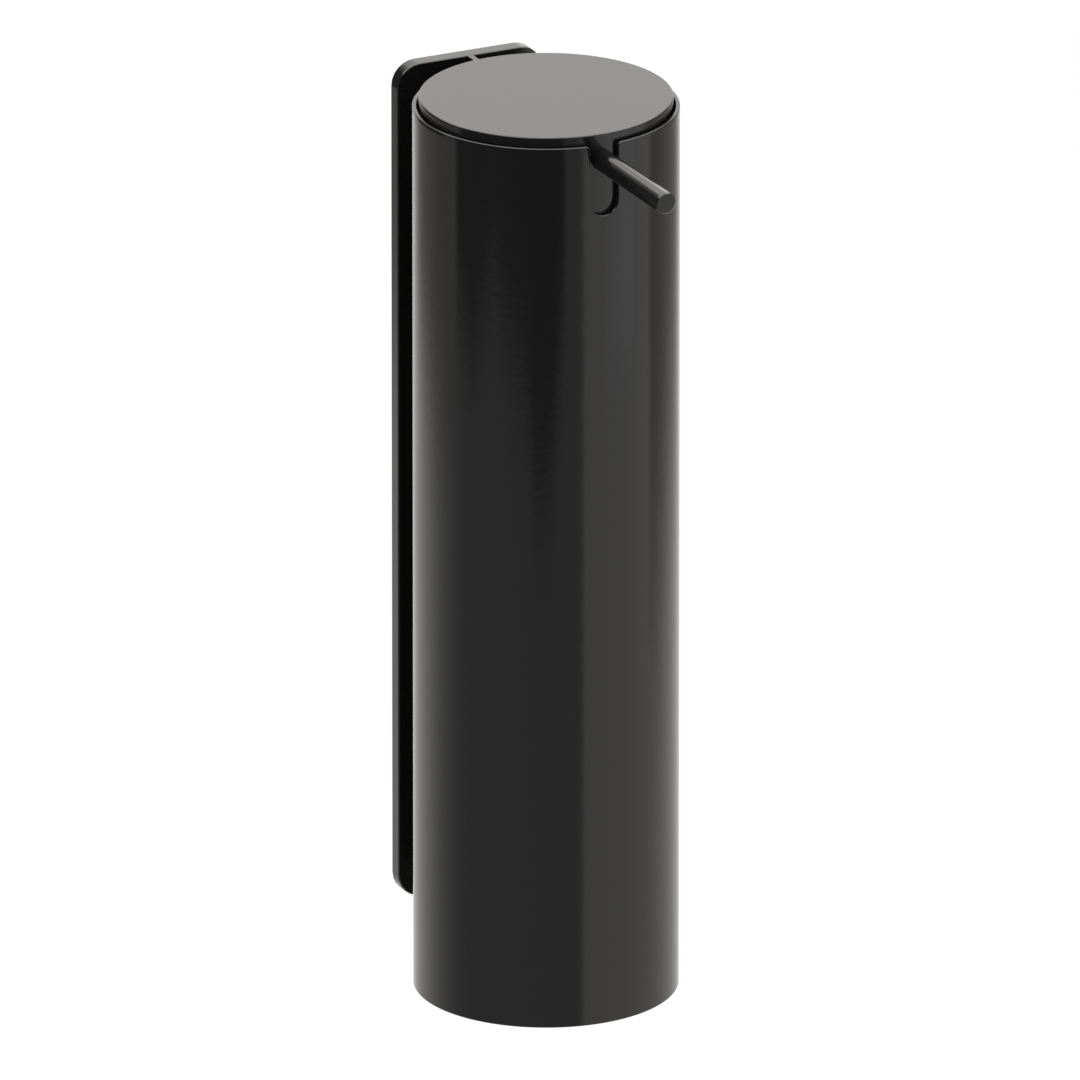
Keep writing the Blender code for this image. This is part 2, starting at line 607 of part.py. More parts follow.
def make_base_dish(material, rim):
    """The pressed dish that closes the tube's foot and carries the bottle, with a drain hole."""
    drain = DISH_DRAIN_DIAMETER / 2
    floor = DISH_TOP_DROP + DISH_SHEET
    inner = DISH_RADIUS - DISH_SHEET
    corners = [(drain, -DISH_TOP_DROP, 0.0),
               (DISH_RADIUS, -DISH_TOP_DROP, DISH_ROUND),
               (DISH_RADIUS, -DISH_BOTTOM_DROP, 0.0),
               (inner, -DISH_BOTTOM_DROP, 0.0),
               (inner, -floor, 0.0),
               (drain, -floor, 0.0)]
    return place(turned("base_dish", corners, MIDDLE_STEPS, closed=True), material, rim)


def make_soap_bottle(material, carrier):
    """The lift-out bottle: a thin shell with a bead under the collar, a shoulder and a pushed-up foot."""
    top = -NECK_TOP_DROP
    neck_foot = -NECK_FOOT_DROP
    shoulder = neck_foot - SHOULDER_FALL
    bottom = -BOTTLE_BOTTOM_DROP
    bead_top = -NECK_BEAD_TOP_DROP
    bead_bottom = bead_top - NECK_BEAD_HEIGHT
    foot_radius = BOTTLE_RADIUS - BOTTLE_FOOT_ROUND - BOTTLE_FOOT_WIDTH
    inner_foot_radius = foot_radius - BOTTLE_WALL
    corners = [(0.0, -BOTTLE_FLOOR_DROP, 0.0),
               (inner_foot_radius, -BOTTLE_FLOOR_DROP, 0.0),
               (foot_radius, bottom + BOTTLE_WALL, 0.0),
               (BOTTLE_INNER_RADIUS, bottom + BOTTLE_WALL, BOTTLE_FOOT_ROUND - BOTTLE_WALL),
               (BOTTLE_INNER_RADIUS, shoulder - BOTTLE_WALL, SHOULDER_ROUND - BOTTLE_WALL),
               (NECK_BORE_RADIUS, neck_foot - BOTTLE_WALL, 0.0),
               (NECK_BORE_RADIUS, top, 0.0),
               (NECK_RADIUS, top, 0.0),
               (NECK_RADIUS, bead_top, 0.0),
               (NECK_RADIUS + NECK_BEAD_WIDTH, bead_top, 0.0),
               (NECK_RADIUS + NECK_BEAD_WIDTH, bead_bottom, 0.0),
               (NECK_RADIUS, bead_bottom, 0.0),
               (NECK_RADIUS, neck_foot, 0.0),
               (BOTTLE_RADIUS, shoulder, SHOULDER_ROUND),
               (BOTTLE_RADIUS, bottom, BOTTLE_FOOT_ROUND),
               (foot_radius, bottom, 0.0),
               (inner_foot_radius, bottom + BOTTLE_PUSH_UP, 0.0),
               (0.0, bottom + BOTTLE_PUSH_UP, 0.0)]
    return place(turned("soap_bottle", corners, MIDDLE_STEPS), material, carrier)


def make_pump_barrel(material, carrier):
    """The barrel: a flange on the neck, the bore, a caged seat for the inlet ball and a tube socket."""
    corners = [(BARREL_BORE_RADIUS, -BARREL_TOP_DROP, 0.0),
               (FLANGE_RADIUS, -BARREL_TOP_DROP, 0.0),
               (FLANGE_RADIUS, -BARREL_TOP_DROP - BARREL_FLANGE_THICKNESS, 0.0),
               (BARREL_RADIUS, -BARREL_TOP_DROP - BARREL_FLANGE_THICKNESS, 0.0),
               (BARREL_RADIUS, -BARREL_STEP_DROP - BARREL_FLOOR, 0.0),
               (TUBE_SOCKET_OUTER_RADIUS, -BARREL_STEP_DROP - BARREL_FLOOR - BARREL_TAPER_HEIGHT, 0.0),
               (TUBE_SOCKET_OUTER_RADIUS, -BARREL_BOTTOM_DROP, 0.0),
               (TUBE_SOCKET_RADIUS, -BARREL_BOTTOM_DROP, 0.0),
               (TUBE_SOCKET_RADIUS, -INLET_SEAT_DROP - INLET_SEAT_THICKNESS, 0.0),
               (INLET_HOLE / 2, -INLET_SEAT_DROP - INLET_SEAT_THICKNESS, 0.0),
               (INLET_HOLE / 2, -INLET_SEAT_DROP, 0.0),
               (INLET_CAGE_RADIUS, -INLET_SEAT_DROP, 0.0),
               (INLET_CAGE_RADIUS, -INLET_CAGE_TOP_DROP, 0.0),
               (INLET_BALL_RADIUS - INLET_LIP_INSET, -INLET_CAGE_TOP_DROP, 0.0),
               (INLET_BALL_RADIUS - INLET_LIP_INSET, -BARREL_STEP_DROP, 0.0),
               (BARREL_BORE_RADIUS, -BARREL_STEP_DROP, 0.0)]
    return place(turned("pump_barrel", corners, SMALL_STEPS, closed=True), material, carrier)


def make_stem_guide(material, carrier):
    """The guide that closes the barrel and that the stem slides in."""
    bore = STEM_DIAMETER / 2 + FIT_GAP
    body = BARREL_BORE_RADIUS - FIT_GAP
    corners = [(bore, -GUIDE_TOP_DROP, 0.0),
               (GUIDE_FLANGE_DIAMETER / 2, -GUIDE_TOP_DROP, 0.0),
               (GUIDE_FLANGE_DIAMETER / 2, -GUIDE_FLANGE_DROP, 0.0),
               (body, -GUIDE_FLANGE_DROP, 0.0),
               (body, -GUIDE_BOTTOM_DROP, 0.0),
               (bore, -GUIDE_BOTTOM_DROP, 0.0)]
    return place(turned("stem_guide", corners, SMALL_STEPS, closed=True), material, carrier)


def make_neck_gasket(material, carrier):
    """The flat ring between the barrel's flange and the bottle's neck."""
    bore = BARREL_RADIUS + FIT_GAP
    corners = [(bore, -GASKET_TOP_DROP, 0.0),
               (FLANGE_RADIUS, -GASKET_TOP_DROP, 0.0),
               (FLANGE_RADIUS, -GASKET_TOP_DROP - GASKET_THICKNESS, 0.0),
               (bore, -GASKET_TOP_DROP - GASKET_THICKNESS, 0.0)]
    return place(turned("neck_gasket", corners, SMALL_STEPS, closed=True), material, carrier)


def make_dip_tube(material, carrier):
    """The tube from the barrel's socket to just above the bottle's floor."""
    bottom = BOTTLE_FLOOR_DROP - DIP_TUBE_FOOT_GAP
    corners = [(DIP_TUBE_BORE / 2, -DIP_TUBE_TOP_DROP, 0.0),
               (DIP_TUBE_DIAMETER / 2, -DIP_TUBE_TOP_DROP, 0.0),
               (DIP_TUBE_DIAMETER / 2, -bottom, 0.0),
               (DIP_TUBE_BORE / 2, -bottom, 0.0)]
    return place(turned("dip_tube", corners, FINE_STEPS, closed=True), material, carrier)


def make_screw_collar(material, carrier):
    """The collar that clamps the pump on the neck, with finger flutes round its side."""
    corners = [(COLLAR_HOLE_RADIUS, -COLLAR_TOP_DROP, 0.0),
               (COLLAR_RADIUS, -COLLAR_TOP_DROP, COLLAR_ROUND),
               (COLLAR_RADIUS, -COLLAR_BOTTOM_DROP, 0.0),
               (COLLAR_INNER_RADIUS, -COLLAR_BOTTOM_DROP, 0.0),
               (COLLAR_INNER_RADIUS, -COLLAR_TOP_DROP - COLLAR_TOP_THICKNESS, 0.0),
               (COLLAR_HOLE_RADIUS, -COLLAR_TOP_DROP - COLLAR_TOP_THICKNESS, 0.0)]
    collar = place(turned("screw_collar", corners, 2 * COLLAR_FLUTES, closed=True), material, carrier)
    shape = bmesh.new()
    flute_radius = COLLAR_FLUTE_DIAMETER / 2
    flute_top = -COLLAR_TOP_DROP - COLLAR_FLUTE_MARGIN
    flute_bottom = -COLLAR_BOTTOM_DROP - CUT_OVERRUN
    ring = COLLAR_RADIUS + flute_radius - COLLAR_FLUTE_DEPTH
    for index in range(COLLAR_FLUTES):
        turn = math.tau * index / COLLAR_FLUTES
        made = bmesh.ops.create_cone(shape, cap_ends=True, segments=6, radius1=flute_radius,
                                     radius2=flute_radius, depth=flute_top - flute_bottom)
        middle = (ring * math.cos(turn), ring * math.sin(turn), (flute_top + flute_bottom) / 2)
        bmesh.ops.translate(shape, verts=made["verts"], vec=middle)
    mesh = bpy.data.meshes.new("collar_flute_cutter")
    shape.to_mesh(mesh)
    shape.free()
    flutes = place(bpy.data.objects.new("collar_flute_cutter", mesh), parent=carrier)
    return combine(collar, flutes, "DIFFERENCE")


def make_push_cap(material, carrier):
    """The cap: a flat top and a skirt that keeps the slot closed from inside, with a hole for the rod."""
    corners = [(0.0, CAP_PROUD, 0.0),
               (CAP_RADIUS, CAP_PROUD, CAP_EDGE_ROUND),
               (CAP_RADIUS, -CAP_SKIRT_DROP, 0.0),
               (CAP_INNER_RADIUS, -CAP_SKIRT_DROP, 0.0),
               (CAP_INNER_RADIUS, CAP_PROUD - CAP_TOP_THICKNESS, CAP_EDGE_ROUND),
               (0.0, CAP_PROUD - CAP_TOP_THICKNESS, 0.0)]
    cap = place(turned("push_cap", corners, LARGE_STEPS), material, carrier)
    hole = turned("rod_hole_cutter", pin(ROD_HOLE_RADIUS, CAP_RADIUS + CUT_OVERRUN, CAP_INNER_RADIUS / 2), FINE_STEPS)
    place(hole, parent=carrier, location=(0.0, 0.0, -ROD_DROP), rotation=(math.pi / 2, 0.0, 0.0))
    return combine(cap, hole, "DIFFERENCE")


def make_actuator_hub(material, carrier):
    """The moulding in the cap: a ribbed disc and rim, a hub with the ball cage, and the rod's boss."""
    disc_radius = CAP_INNER_RADIUS - FIT_GAP
    disc_bottom = -HUB_TOP_DROP - HUB_DISC_THICKNESS
    rim_inner = disc_radius - HUB_RIM_WALL
    rim_bottom = -HUB_TOP_DROP - HUB_RIM_HEIGHT
    hub_radius = HUB_DIAMETER / 2
    corners = [(0.0, -HUB_TOP_DROP, 0.0),
               (disc_radius, -HUB_TOP_DROP, CAP_EDGE_ROUND),
               (disc_radius, rim_bottom, 0.0),
               (rim_inner, rim_bottom, 0.0),
               (rim_inner, disc_bottom, 0.0),
               (hub_radius, disc_bottom, 0.0),
               (hub_radius, -HUB_BOTTOM_DROP, 0.0),
               (0.0, -HUB_BOTTOM_DROP, 0.0)]
    hub = place(turned("actuator_hub", corners, MIDDLE_STEPS), material, carrier)
    rib_reach = disc_radius - HUB_RIM_WALL / 2
    rib_bottom = disc_bottom - HUB_RIB_HEIGHT
    rib_top = disc_bottom + HUB_DISC_THICKNESS / 2
    for index in range(HUB_RIB_PAIRS):
        rib = block("hub_rib_tool", (-rib_reach, -HUB_RIB_THICKNESS / 2, rib_bottom),
                    (rib_reach, HUB_RIB_THICKNESS / 2, rib_top))
        place(rib, parent=carrier, rotation=(0.0, 0.0, math.pi * index / HUB_RIB_PAIRS))
        combine(hub, rib, "UNION")
    boss = turned("rod_boss_tool", pin(ROD_HOLE_RADIUS + HUB_BOSS_WALL, HUB_BOSS_LENGTH, 0.0), FINE_STEPS)
    forward = (math.pi / 2, 0.0, 0.0)
    place(boss, parent=carrier, location=(0.0, 0.0, -ROD_DROP), rotation=forward)
    combine(hub, boss, "UNION")
    trim = block("hub_top_trim_cutter", (-disc_radius, -disc_radius, -HUB_TOP_DROP),
                 (disc_radius, disc_radius, -HUB_TOP_DROP + HUB_BOSS_LENGTH))
    combine(hub, place(trim, parent=carrier), "DIFFERENCE")
    groove_radius = ROD_DIAMETER / 2 + FIT_GAP + SEAL_CORD + SEAL_GROOVE_GAP
    groove_half = SEAL_CORD / 2 + FIT_GAP
    bore_back = ROD_START - FIT_GAP
    channel = HUB_CHANNEL / 2
    corners = [(0.0, CAP_RADIUS, 0.0),
               (ROD_HOLE_RADIUS, CAP_RADIUS, 0.0),
               (ROD_HOLE_RADIUS, SEAL_FROM_AXIS + groove_half, 0.0),
               (groove_radius, SEAL_FROM_AXIS + groove_half, 0.0),
               (groove_radius, SEAL_FROM_AXIS - groove_half, 0.0),
               (ROD_HOLE_RADIUS, SEAL_FROM_AXIS - groove_half, 0.0),
               (ROD_HOLE_RADIUS, bore_back, 0.0),
               (channel, bore_back, 0.0),
               (channel, -channel, 0.0),
               (0.0, -channel, 0.0)]
    rod_bore = turned("rod_bore_cutter", corners, FINE_STEPS)
    place(rod_bore, parent=carrier, location=(0.0, 0.0, -ROD_DROP), rotation=forward)
    combine(hub, rod_bore, "DIFFERENCE")
    cage = OUTLET_BALL_RADIUS + CAGE_SIDE_GAP
    socket = STEM_DIAMETER / 2 + FIT_GAP
    riser = HUB_RISER / 2
    corners = [(0.0, -ROD_DROP, 0.0),
               (riser, -ROD_DROP, 0.0),
               (riser, -OUTLET_CAGE_TOP_DROP, 0.0),
               (cage, -OUTLET_CAGE_TOP_DROP, 0.0),
               (cage, -STEM_TOP_DROP + FIT_GAP, 0.0),
               (socket, -STEM_TOP_DROP + FIT_GAP, 0.0),
               (socket, -HUB_BOTTOM_DROP - CUT_OVERRUN, 0.0),
               (0.0, -HUB_BOTTOM_DROP - CUT_OVERRUN, 0.0)]
    stem_bore = place(turned("stem_bore_cutter", corners, FINE_STEPS), parent=carrier)
    return combine(hub, stem_bore, "DIFFERENCE")


def make_spout_rod(material, carrier):
    """The straight spout: a tube closed at its tip, with the outlet on its underside."""
    radius = ROD_DIAMETER / 2
    bore = ROD_BORE / 2
    corners = [(0.0, ROD_REACH, 0.0),
               (radius - ROD_CHAMFER, ROD_REACH, 0.0),
               (radius, ROD_REACH - ROD_CHAMFER, 0.0),
               (radius, ROD_START, 0.0),
               (bore, ROD_START, 0.0),
               (bore, ROD_REACH - ROD_END_WALL, 0.0),
               (0.0, ROD_REACH - ROD_END_WALL, 0.0)]
    rod = turned("spout_rod", corners, FINE_STEPS)
    place(rod, material, carrier, (0.0, 0.0, -ROD_DROP), (math.pi / 2, 0.0, 0.0))
    outlet = turned("outlet_cutter", pin(OUTLET_DIAMETER / 2, 0.0, -radius - CUT_OVERRUN), FINE_STEPS)
    place(outlet, parent=carrier, location=(0.0, OUTLET_FROM_TIP - ROD_REACH, -ROD_DROP))
    return combine(rod, outlet, "DIFFERENCE")


def make_spout_seal(material, carrier):
    """The O-ring round the rod, in the hub's groove."""
    cord = SEAL_CORD / 2
    ring = ROD_DIAMETER / 2 + FIT_GAP / 2 + cord
    shape_steps = 10
    corners = []
    for index in range(shape_steps):
        turn = -math.tau * index / shape_steps
        corners.append((ring + cord * math.cos(turn), SEAL_FROM_AXIS + cord * math.sin(turn), 0.0))
    seal = turned("spout_seal", corners, FINE_STEPS, closed=True)
    return place(seal, material, carrier, (0.0, 0.0, -ROD_DROP), (math.pi / 2, 0.0, 0.0))


def make_pump_stem(material, carrier):
    """The hollow stem, from the hub's socket through the guide to the foot under the piston."""
    corners = [(STEM_BORE / 2, -STEM_TOP_DROP, 0.0),
               (STEM_DIAMETER / 2, -STEM_TOP_DROP, 0.0),
               (STEM_DIAMETER / 2, -STEM_FOOT_DROP, 0.0),
               (STEM_FOOT_DIAMETER / 2, -STEM_FOOT_DROP, 0.0),
               (STEM_FOOT_DIAMETER / 2, -STEM_BOTTOM_DROP, 0.0),
               (STEM_BORE / 2, -STEM_BOTTOM_DROP, 0.0)]
    return place(turned("pump_stem", corners, FINE_STEPS, closed=True), material, carrier)


def make_piston(material, carrier):
    """The soft piston on the stem, with a cupped lip at each end."""
    bore = STEM_DIAMETER / 2 + FIT_GAP
    lip = BARREL_BORE_RADIUS - FIT_GAP
    waist = lip - PISTON_WAIST_DEPTH
    cup = lip - PISTON_LIP_THICKNESS
    top = -PISTON_TOP_DROP
    bottom = -PISTON_BOTTOM_DROP
    corners = [(bore, top - PISTON_LIP_CUP, 0.0),
               (cup, top - PISTON_LIP_CUP, 0.0),
               (lip, top, 0.0),
               (lip, top - PISTON_LIP_LENGTH, 0.0),
               (waist, top - PISTON_LIP_LENGTH - PISTON_LIP_CUP, 0.0),
               (waist, bottom + PISTON_LIP_LENGTH + PISTON_LIP_CUP, 0.0),
               (lip, bottom + PISTON_LIP_LENGTH, 0.0),
               (lip, bottom, 0.0),
               (cup, bottom + PISTON_LIP_CUP, 0.0),
               (bore, bottom + PISTON_LIP_CUP, 0.0)]
    return place(turned("piston", corners, SMALL_STEPS, closed=True), material, carrier)


def make_return_spring(material, carrier):
    """The coil spring under the stem's foot: one tube along a helix, radius and climb by formula."""
    wire = SPRING_WIRE / 2
    mean_radius = SPRING_DIAMETER / 2
    top = -SPRING_TOP_DROP - wire
    bottom = -SPRING_BOTTOM_DROP + wire
    count = SPRING_CURLS * SPRING_POINTS_PER_CURL + 1
    points = []
    for index in range(count):
        turn = math.tau * index / SPRING_POINTS_PER_CURL
        climb = bottom + (top - bottom) * index / (count - 1)
        points.append((mean_radius * math.cos(turn), mean_radius * math.sin(turn), climb))
    least = min(math.dist(points[index], points[other])
                for index in range(count)
                for other in range(index + SPRING_POINTS_PER_CURL // 2, count))
    print("return_spring: least gap between curls", round((least - SPRING_WIRE) * 1000, 2), "mm")
    curve = bpy.data.curves.new("return_spring_path", "CURVE")
    curve.dimensions = "3D"
    curve.bevel_depth = wire
    curve.bevel_resolution = 1
    curve.use_fill_caps = True
    spline = curve.splines.new("POLY")
    spline.points.add(count - 1)
    for point, place_on_helix in zip(spline.points, points):
        point.co = (*place_on_helix, 1.0)
    source = bpy.data.objects.new("return_spring_path", curve)
    bpy.context.scene.collection.objects.link(source)
    mesh = evaluated_mesh(source, "return_spring")
    bpy.data.objects.remove(source, do_unlink=True)
    return place(bpy.data.objects.new("return_spring", mesh), material, carrier)


def main():
    start_clean()
    lacquer = principled("black_lacquer", BLACK, 0.25)
    inner_lacquer = principled("black_lacquer_inside", GRAPHITE, 0.45)
    zinc = principled("zinc_plated_steel", STEEL, 0.35, 1.0)
    spring_steel = principled("spring_steel", STEEL, 0.25, 1.0)
    moulding = principled("black_polypropylene", GRAPHITE, 0.5)
    milky = principled("milky_polyethylene", MILKY, 0.45)
    soft = principled("soft_seal", SEAL_GREY, 0.7)

    make_wall_bracket(zinc)
    make_back_plate(lacquer)
    make_spacer_web(lacquer)
    make_locking_screw(zinc)
    rim = empty("tube_rim", (0.0, TUBE_AXIS_Y, RIM_Z))
    make_housing_tube(lacquer, rim)
    make_base_dish(inner_lacquer, rim)

    cartridge = empty("cartridge_axis", (0.0, 0.0, 0.0), rim)
    make_soap_bottle(milky, cartridge)

    pump = empty("pump_axis", (0.0, 0.0, 0.0), cartridge)
    make_pump_barrel(milky, pump)
    make_stem_guide(milky, pump)
    make_neck_gasket(soft, pump)
    make_dip_tube(milky, pump)
    make_return_spring(spring_steel, pump)
    make_screw_collar(moulding, pump)
    ball("inlet_ball", INLET_BALL_DIAMETER, (0.0, 0.0, -INLET_BALL_DROP), pump, spring_steel)

    head = empty("head_axis", (0.0, 0.0, 0.0), pump)
    make_push_cap(lacquer, head)
    make_actuator_hub(moulding, head)
    make_spout_rod(lacquer, head)
    make_spout_seal(soft, head)
    make_pump_stem(milky, head)
    make_piston(soft, head)
    ball("outlet_ball", OUTLET_BALL_DIAMETER, (0.0, 0.0, -OUTLET_BALL_DROP), head, spring_steel)


main()
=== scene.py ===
# %% [markdown]
# # A wall-mounted soap dispenser
#
# The real object is a slotted steel tube on a narrow back plate, all in black lacquer. A cap with a rod
# spout slides in the tube, and a lift-out bottle with a small pump stands inside it. This lesson dresses
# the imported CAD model: each cell makes one piece or one finish, prints what it made, and leaves the CAD
# bodies where they are, so that the cap can still be pressed and the bottle lifted out.

import math

import bmesh
import bpy
import numpy as np
from mathutils import Matrix, Vector


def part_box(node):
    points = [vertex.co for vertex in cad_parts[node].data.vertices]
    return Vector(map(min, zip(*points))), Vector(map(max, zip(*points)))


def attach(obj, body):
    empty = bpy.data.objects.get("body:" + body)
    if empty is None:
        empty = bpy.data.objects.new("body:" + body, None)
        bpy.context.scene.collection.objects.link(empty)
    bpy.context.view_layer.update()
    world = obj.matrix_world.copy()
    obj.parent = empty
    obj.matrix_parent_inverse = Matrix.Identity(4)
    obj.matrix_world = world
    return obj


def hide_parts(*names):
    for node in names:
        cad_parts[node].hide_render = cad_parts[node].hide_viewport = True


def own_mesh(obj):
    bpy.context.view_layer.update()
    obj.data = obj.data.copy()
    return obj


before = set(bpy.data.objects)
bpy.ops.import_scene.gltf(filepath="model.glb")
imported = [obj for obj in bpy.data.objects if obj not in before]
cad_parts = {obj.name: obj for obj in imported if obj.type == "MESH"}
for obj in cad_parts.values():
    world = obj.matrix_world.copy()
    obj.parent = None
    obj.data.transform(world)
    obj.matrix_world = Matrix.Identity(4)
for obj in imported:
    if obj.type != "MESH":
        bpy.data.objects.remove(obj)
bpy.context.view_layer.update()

# %% [markdown]
# ## Lengths and places
#
# A workshop drawing counts in millimetres and from one edge. Here that edge is the tube's rim: a height is
# written as its drop below the rim, and the tube's own box in the CAD model says where rim and axis are.

# %% Measure the tube's place
MM = 0.001
tube_low, tube_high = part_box("housing_tube")
AXIS_Y = (tube_low.y + tube_high.y) / 2
TUBE_RADIUS = (tube_high.x - tube_low.x) / 2
TUBE_HEIGHT = tube_high.z - tube_low.z
RIM_Z = tube_high.z
ROD_DROP = 4.0 * MM
print("tube: radius %.1f mm, height %.1f mm, rim at %.1f mm"
      % (TUBE_RADIUS / MM, TUBE_HEIGHT / MM, RIM_Z / MM))

# %% [markdown]
# ## From corners to a smooth line
#
# Sheet metal and mouldings have no knife edges: each corner is broken by a few tenths of a millimetre, and
# that small round is what catches the light. So every profile is written as corners with a radius each, and
# one function turns all of them into arcs at once.

# %% Corner points to a line with arcs
ARC_STEPS = 6


def rounded_line(corners, closed=False):
    """Rows of (across, along, round) in mm give the points of a line in metres.

    b and n are the unit vectors from a corner to the one before and the one after it, and half is half the
    angle between them. The arc's centre is the corner plus round / sin(half) along the bisector, it starts
    round / tan(half) back along b, and its points are that start turned about the centre in equal steps.
    A corner without a round repeats itself, and the repeats are dropped.
    """
    corners = np.asarray(corners, float) * MM
    point, radius = corners[:, :2], corners[:, 2].copy()
    if not closed:
        radius[[0, -1]] = 0
    before, after = np.roll(point, 1, 0) - point, np.roll(point, -1, 0) - point
    before /= np.linalg.norm(before, axis=1, keepdims=True)
    after /= np.linalg.norm(after, axis=1, keepdims=True)
    half = np.arccos(np.clip((before * after).sum(1), -1, 1)) / 2
    bisector = before + after
    bisector /= np.maximum(np.linalg.norm(bisector, axis=1, keepdims=True), 1e-9)
    centre = point + bisector * (radius / np.sin(half))[:, None]
    start = point + before * (radius / np.tan(half))[:, None] - centre
    side = np.sign(before[:, 0] * after[:, 1] - before[:, 1] * after[:, 0])
    turn = (-side * (math.pi - 2 * half))[:, None] * np.linspace(0, 1, ARC_STEPS + 1)
    arc = np.stack([start[:, :1] * np.cos(turn) - start[:, 1:] * np.sin(turn),
                    start[:, :1] * np.sin(turn) + start[:, 1:] * np.cos(turn)], -1)
    line = (centre[:, None] + arc).reshape(-1, 2)
    keep = np.linalg.norm(line - np.roll(line, 1, 0), axis=1) > 1e-8
    keep[0] = keep[0] or not closed
    return line[keep]


def finer(line, step, low, high):
    """Adds points to a line, a step apart in mm, where its second number lies between low and high.

    The line is read by its running length, and both numbers are interpolated at the old and new lengths.
    """
    length = np.concatenate([[0], np.cumsum(np.linalg.norm(np.diff(line, axis=0), axis=1))])
    extra = np.arange(0, length[-1], step * MM)
    along = np.interp(extra, length, line[:, 1])
    every = np.union1d(length, extra[(along > low * MM) & (along < high * MM)])
    return np.stack([np.interp(every, length, line[:, 0]), np.interp(every, length, line[:, 1])], -1)


square = rounded_line([(0, 0, 1), (9, 0, 1), (9, 9, 1), (0, 9, 1)], closed=True)
print("a square with rounds has", len(square), "points")

# %% [markdown]
# ## From a grid of points to a closed piece
#
# A surface that depends on two parameters is a grid: rows for one, columns for the other. Quads join each
# point to its neighbours, and where two grids share an edge their points fall together and are merged. A
# piece is finished when each edge has exactly two faces and the volume inside is positive, so both are
# printed.


# %% Grids to meshes
def stacked(*values):
    """Numbers and grids, spread to one shape and stacked as a last axis, such as the x, y and z of points."""
    return np.stack(np.broadcast_arrays(*values), -1)


def quads(rows, columns, rows_meet=False, columns_meet=False):
    """Corner numbers: a point, the next in its row, the one below that, and the one below itself."""
    row = np.arange(rows if rows_meet else rows - 1)[:, None]
    column = np.arange(columns if columns_meet else columns - 1)[None, :]
    row_after, column_after = (row + 1) % rows, (column + 1) % columns
    corners = (row * columns + column, row * columns + column_after,
               row_after * columns + column_after, row_after * columns + column)
    return stacked(*corners).reshape(-1, 4)


def grid(points, rows_meet=False, columns_meet=False):
    """One patch: its points in a flat list, and the quads between them."""
    rows, columns = points.shape[:2]
    return points.reshape(-1, 3), quads(rows, columns, rows_meet, columns_meet).tolist()


def capped(points):
    """A pipe of rings: each row closes on itself, and a flat face closes the first row and the last."""
    rows, columns = points.shape[:2]
    flat, faces = grid(points, columns_meet=True)
    last = (rows - 1) * columns
    return flat, faces + [list(range(columns)), list(range(last, last + columns))]


def solid(name, *patches):
    """Patches of (points, faces) become one mesh: numbered on, merged where they meet, faces outwards."""
    starts = np.cumsum([0] + [len(points) for points, faces in patches])
    points = np.concatenate([points for points, faces in patches])
    faces = [[number + start for number in face]
             for start, (_, group) in zip(starts.tolist(), patches) for face in group]
    mesh = bpy.data.meshes.new(name)
    mesh.from_pydata(points.tolist(), [], faces)
    shape = bmesh.new()
    shape.from_mesh(mesh)
    bmesh.ops.remove_doubles(shape, verts=shape.verts, dist=1e-6)
    bmesh.ops.recalc_face_normals(shape, faces=shape.faces)
    shape.to_mesh(mesh)
    shape.free()
    made = bpy.data.objects.new(name, mesh)
    bpy.context.scene.collection.objects.link(made)
    return made


def carve(made, *tools, operation="DIFFERENCE"):
    """Cuts a piece with tools, or joins them to it, applies that, and clears the tools away."""
    for tool in tools:
        step = made.modifiers.new(tool.name, "BOOLEAN")
        step.operation, step.solver, step.object = operation, "EXACT", tool
    bpy.context.view_layer.update()
    whole = made.evaluated_get(bpy.context.evaluated_depsgraph_get())
    made.data = bpy.data.meshes.new_from_object(whole)
    made.modifiers.clear()
    for tool in tools:
        bpy.data.objects.remove(tool)
    return made


# %% [markdown]
# Most inner pieces are turned or moulded round one axis. For those the two parameters are the place along
# the profile and the turn about the axis; `shape` may push the radius in or out as both change, which gives
# flutes and threads. `lay` says which way the axis points: upright in the tube, or forward along the spout.


# %% Turned pieces and cut sheets
def upright(radius, turn, drop):
    """(r cos t, axis + r sin t, rim - drop)"""
    return stacked(radius * np.cos(turn), AXIS_Y + radius * np.sin(turn), RIM_Z - drop)


def forward(radius, turn, reach):
    """(r cos t, axis - reach, rod's height + r sin t)"""
    return stacked(radius * np.cos(turn), AXIS_Y - reach, RIM_Z - ROD_DROP + radius * np.sin(turn))


def turned(name, line, steps=144, closed=False, lay=upright, shape=None):
    """Each point (radius, along) of the line goes round the axis; a radius of zero closes to a pole."""
    turn = np.linspace(0, math.tau, steps, endpoint=False)[None, :]
    radius, along = line[:, :1], line[:, 1:]
    if shape is not None:
        radius = shape(radius, turn, along)
    return solid(name, grid(lay(radius, turn, along), closed, True))


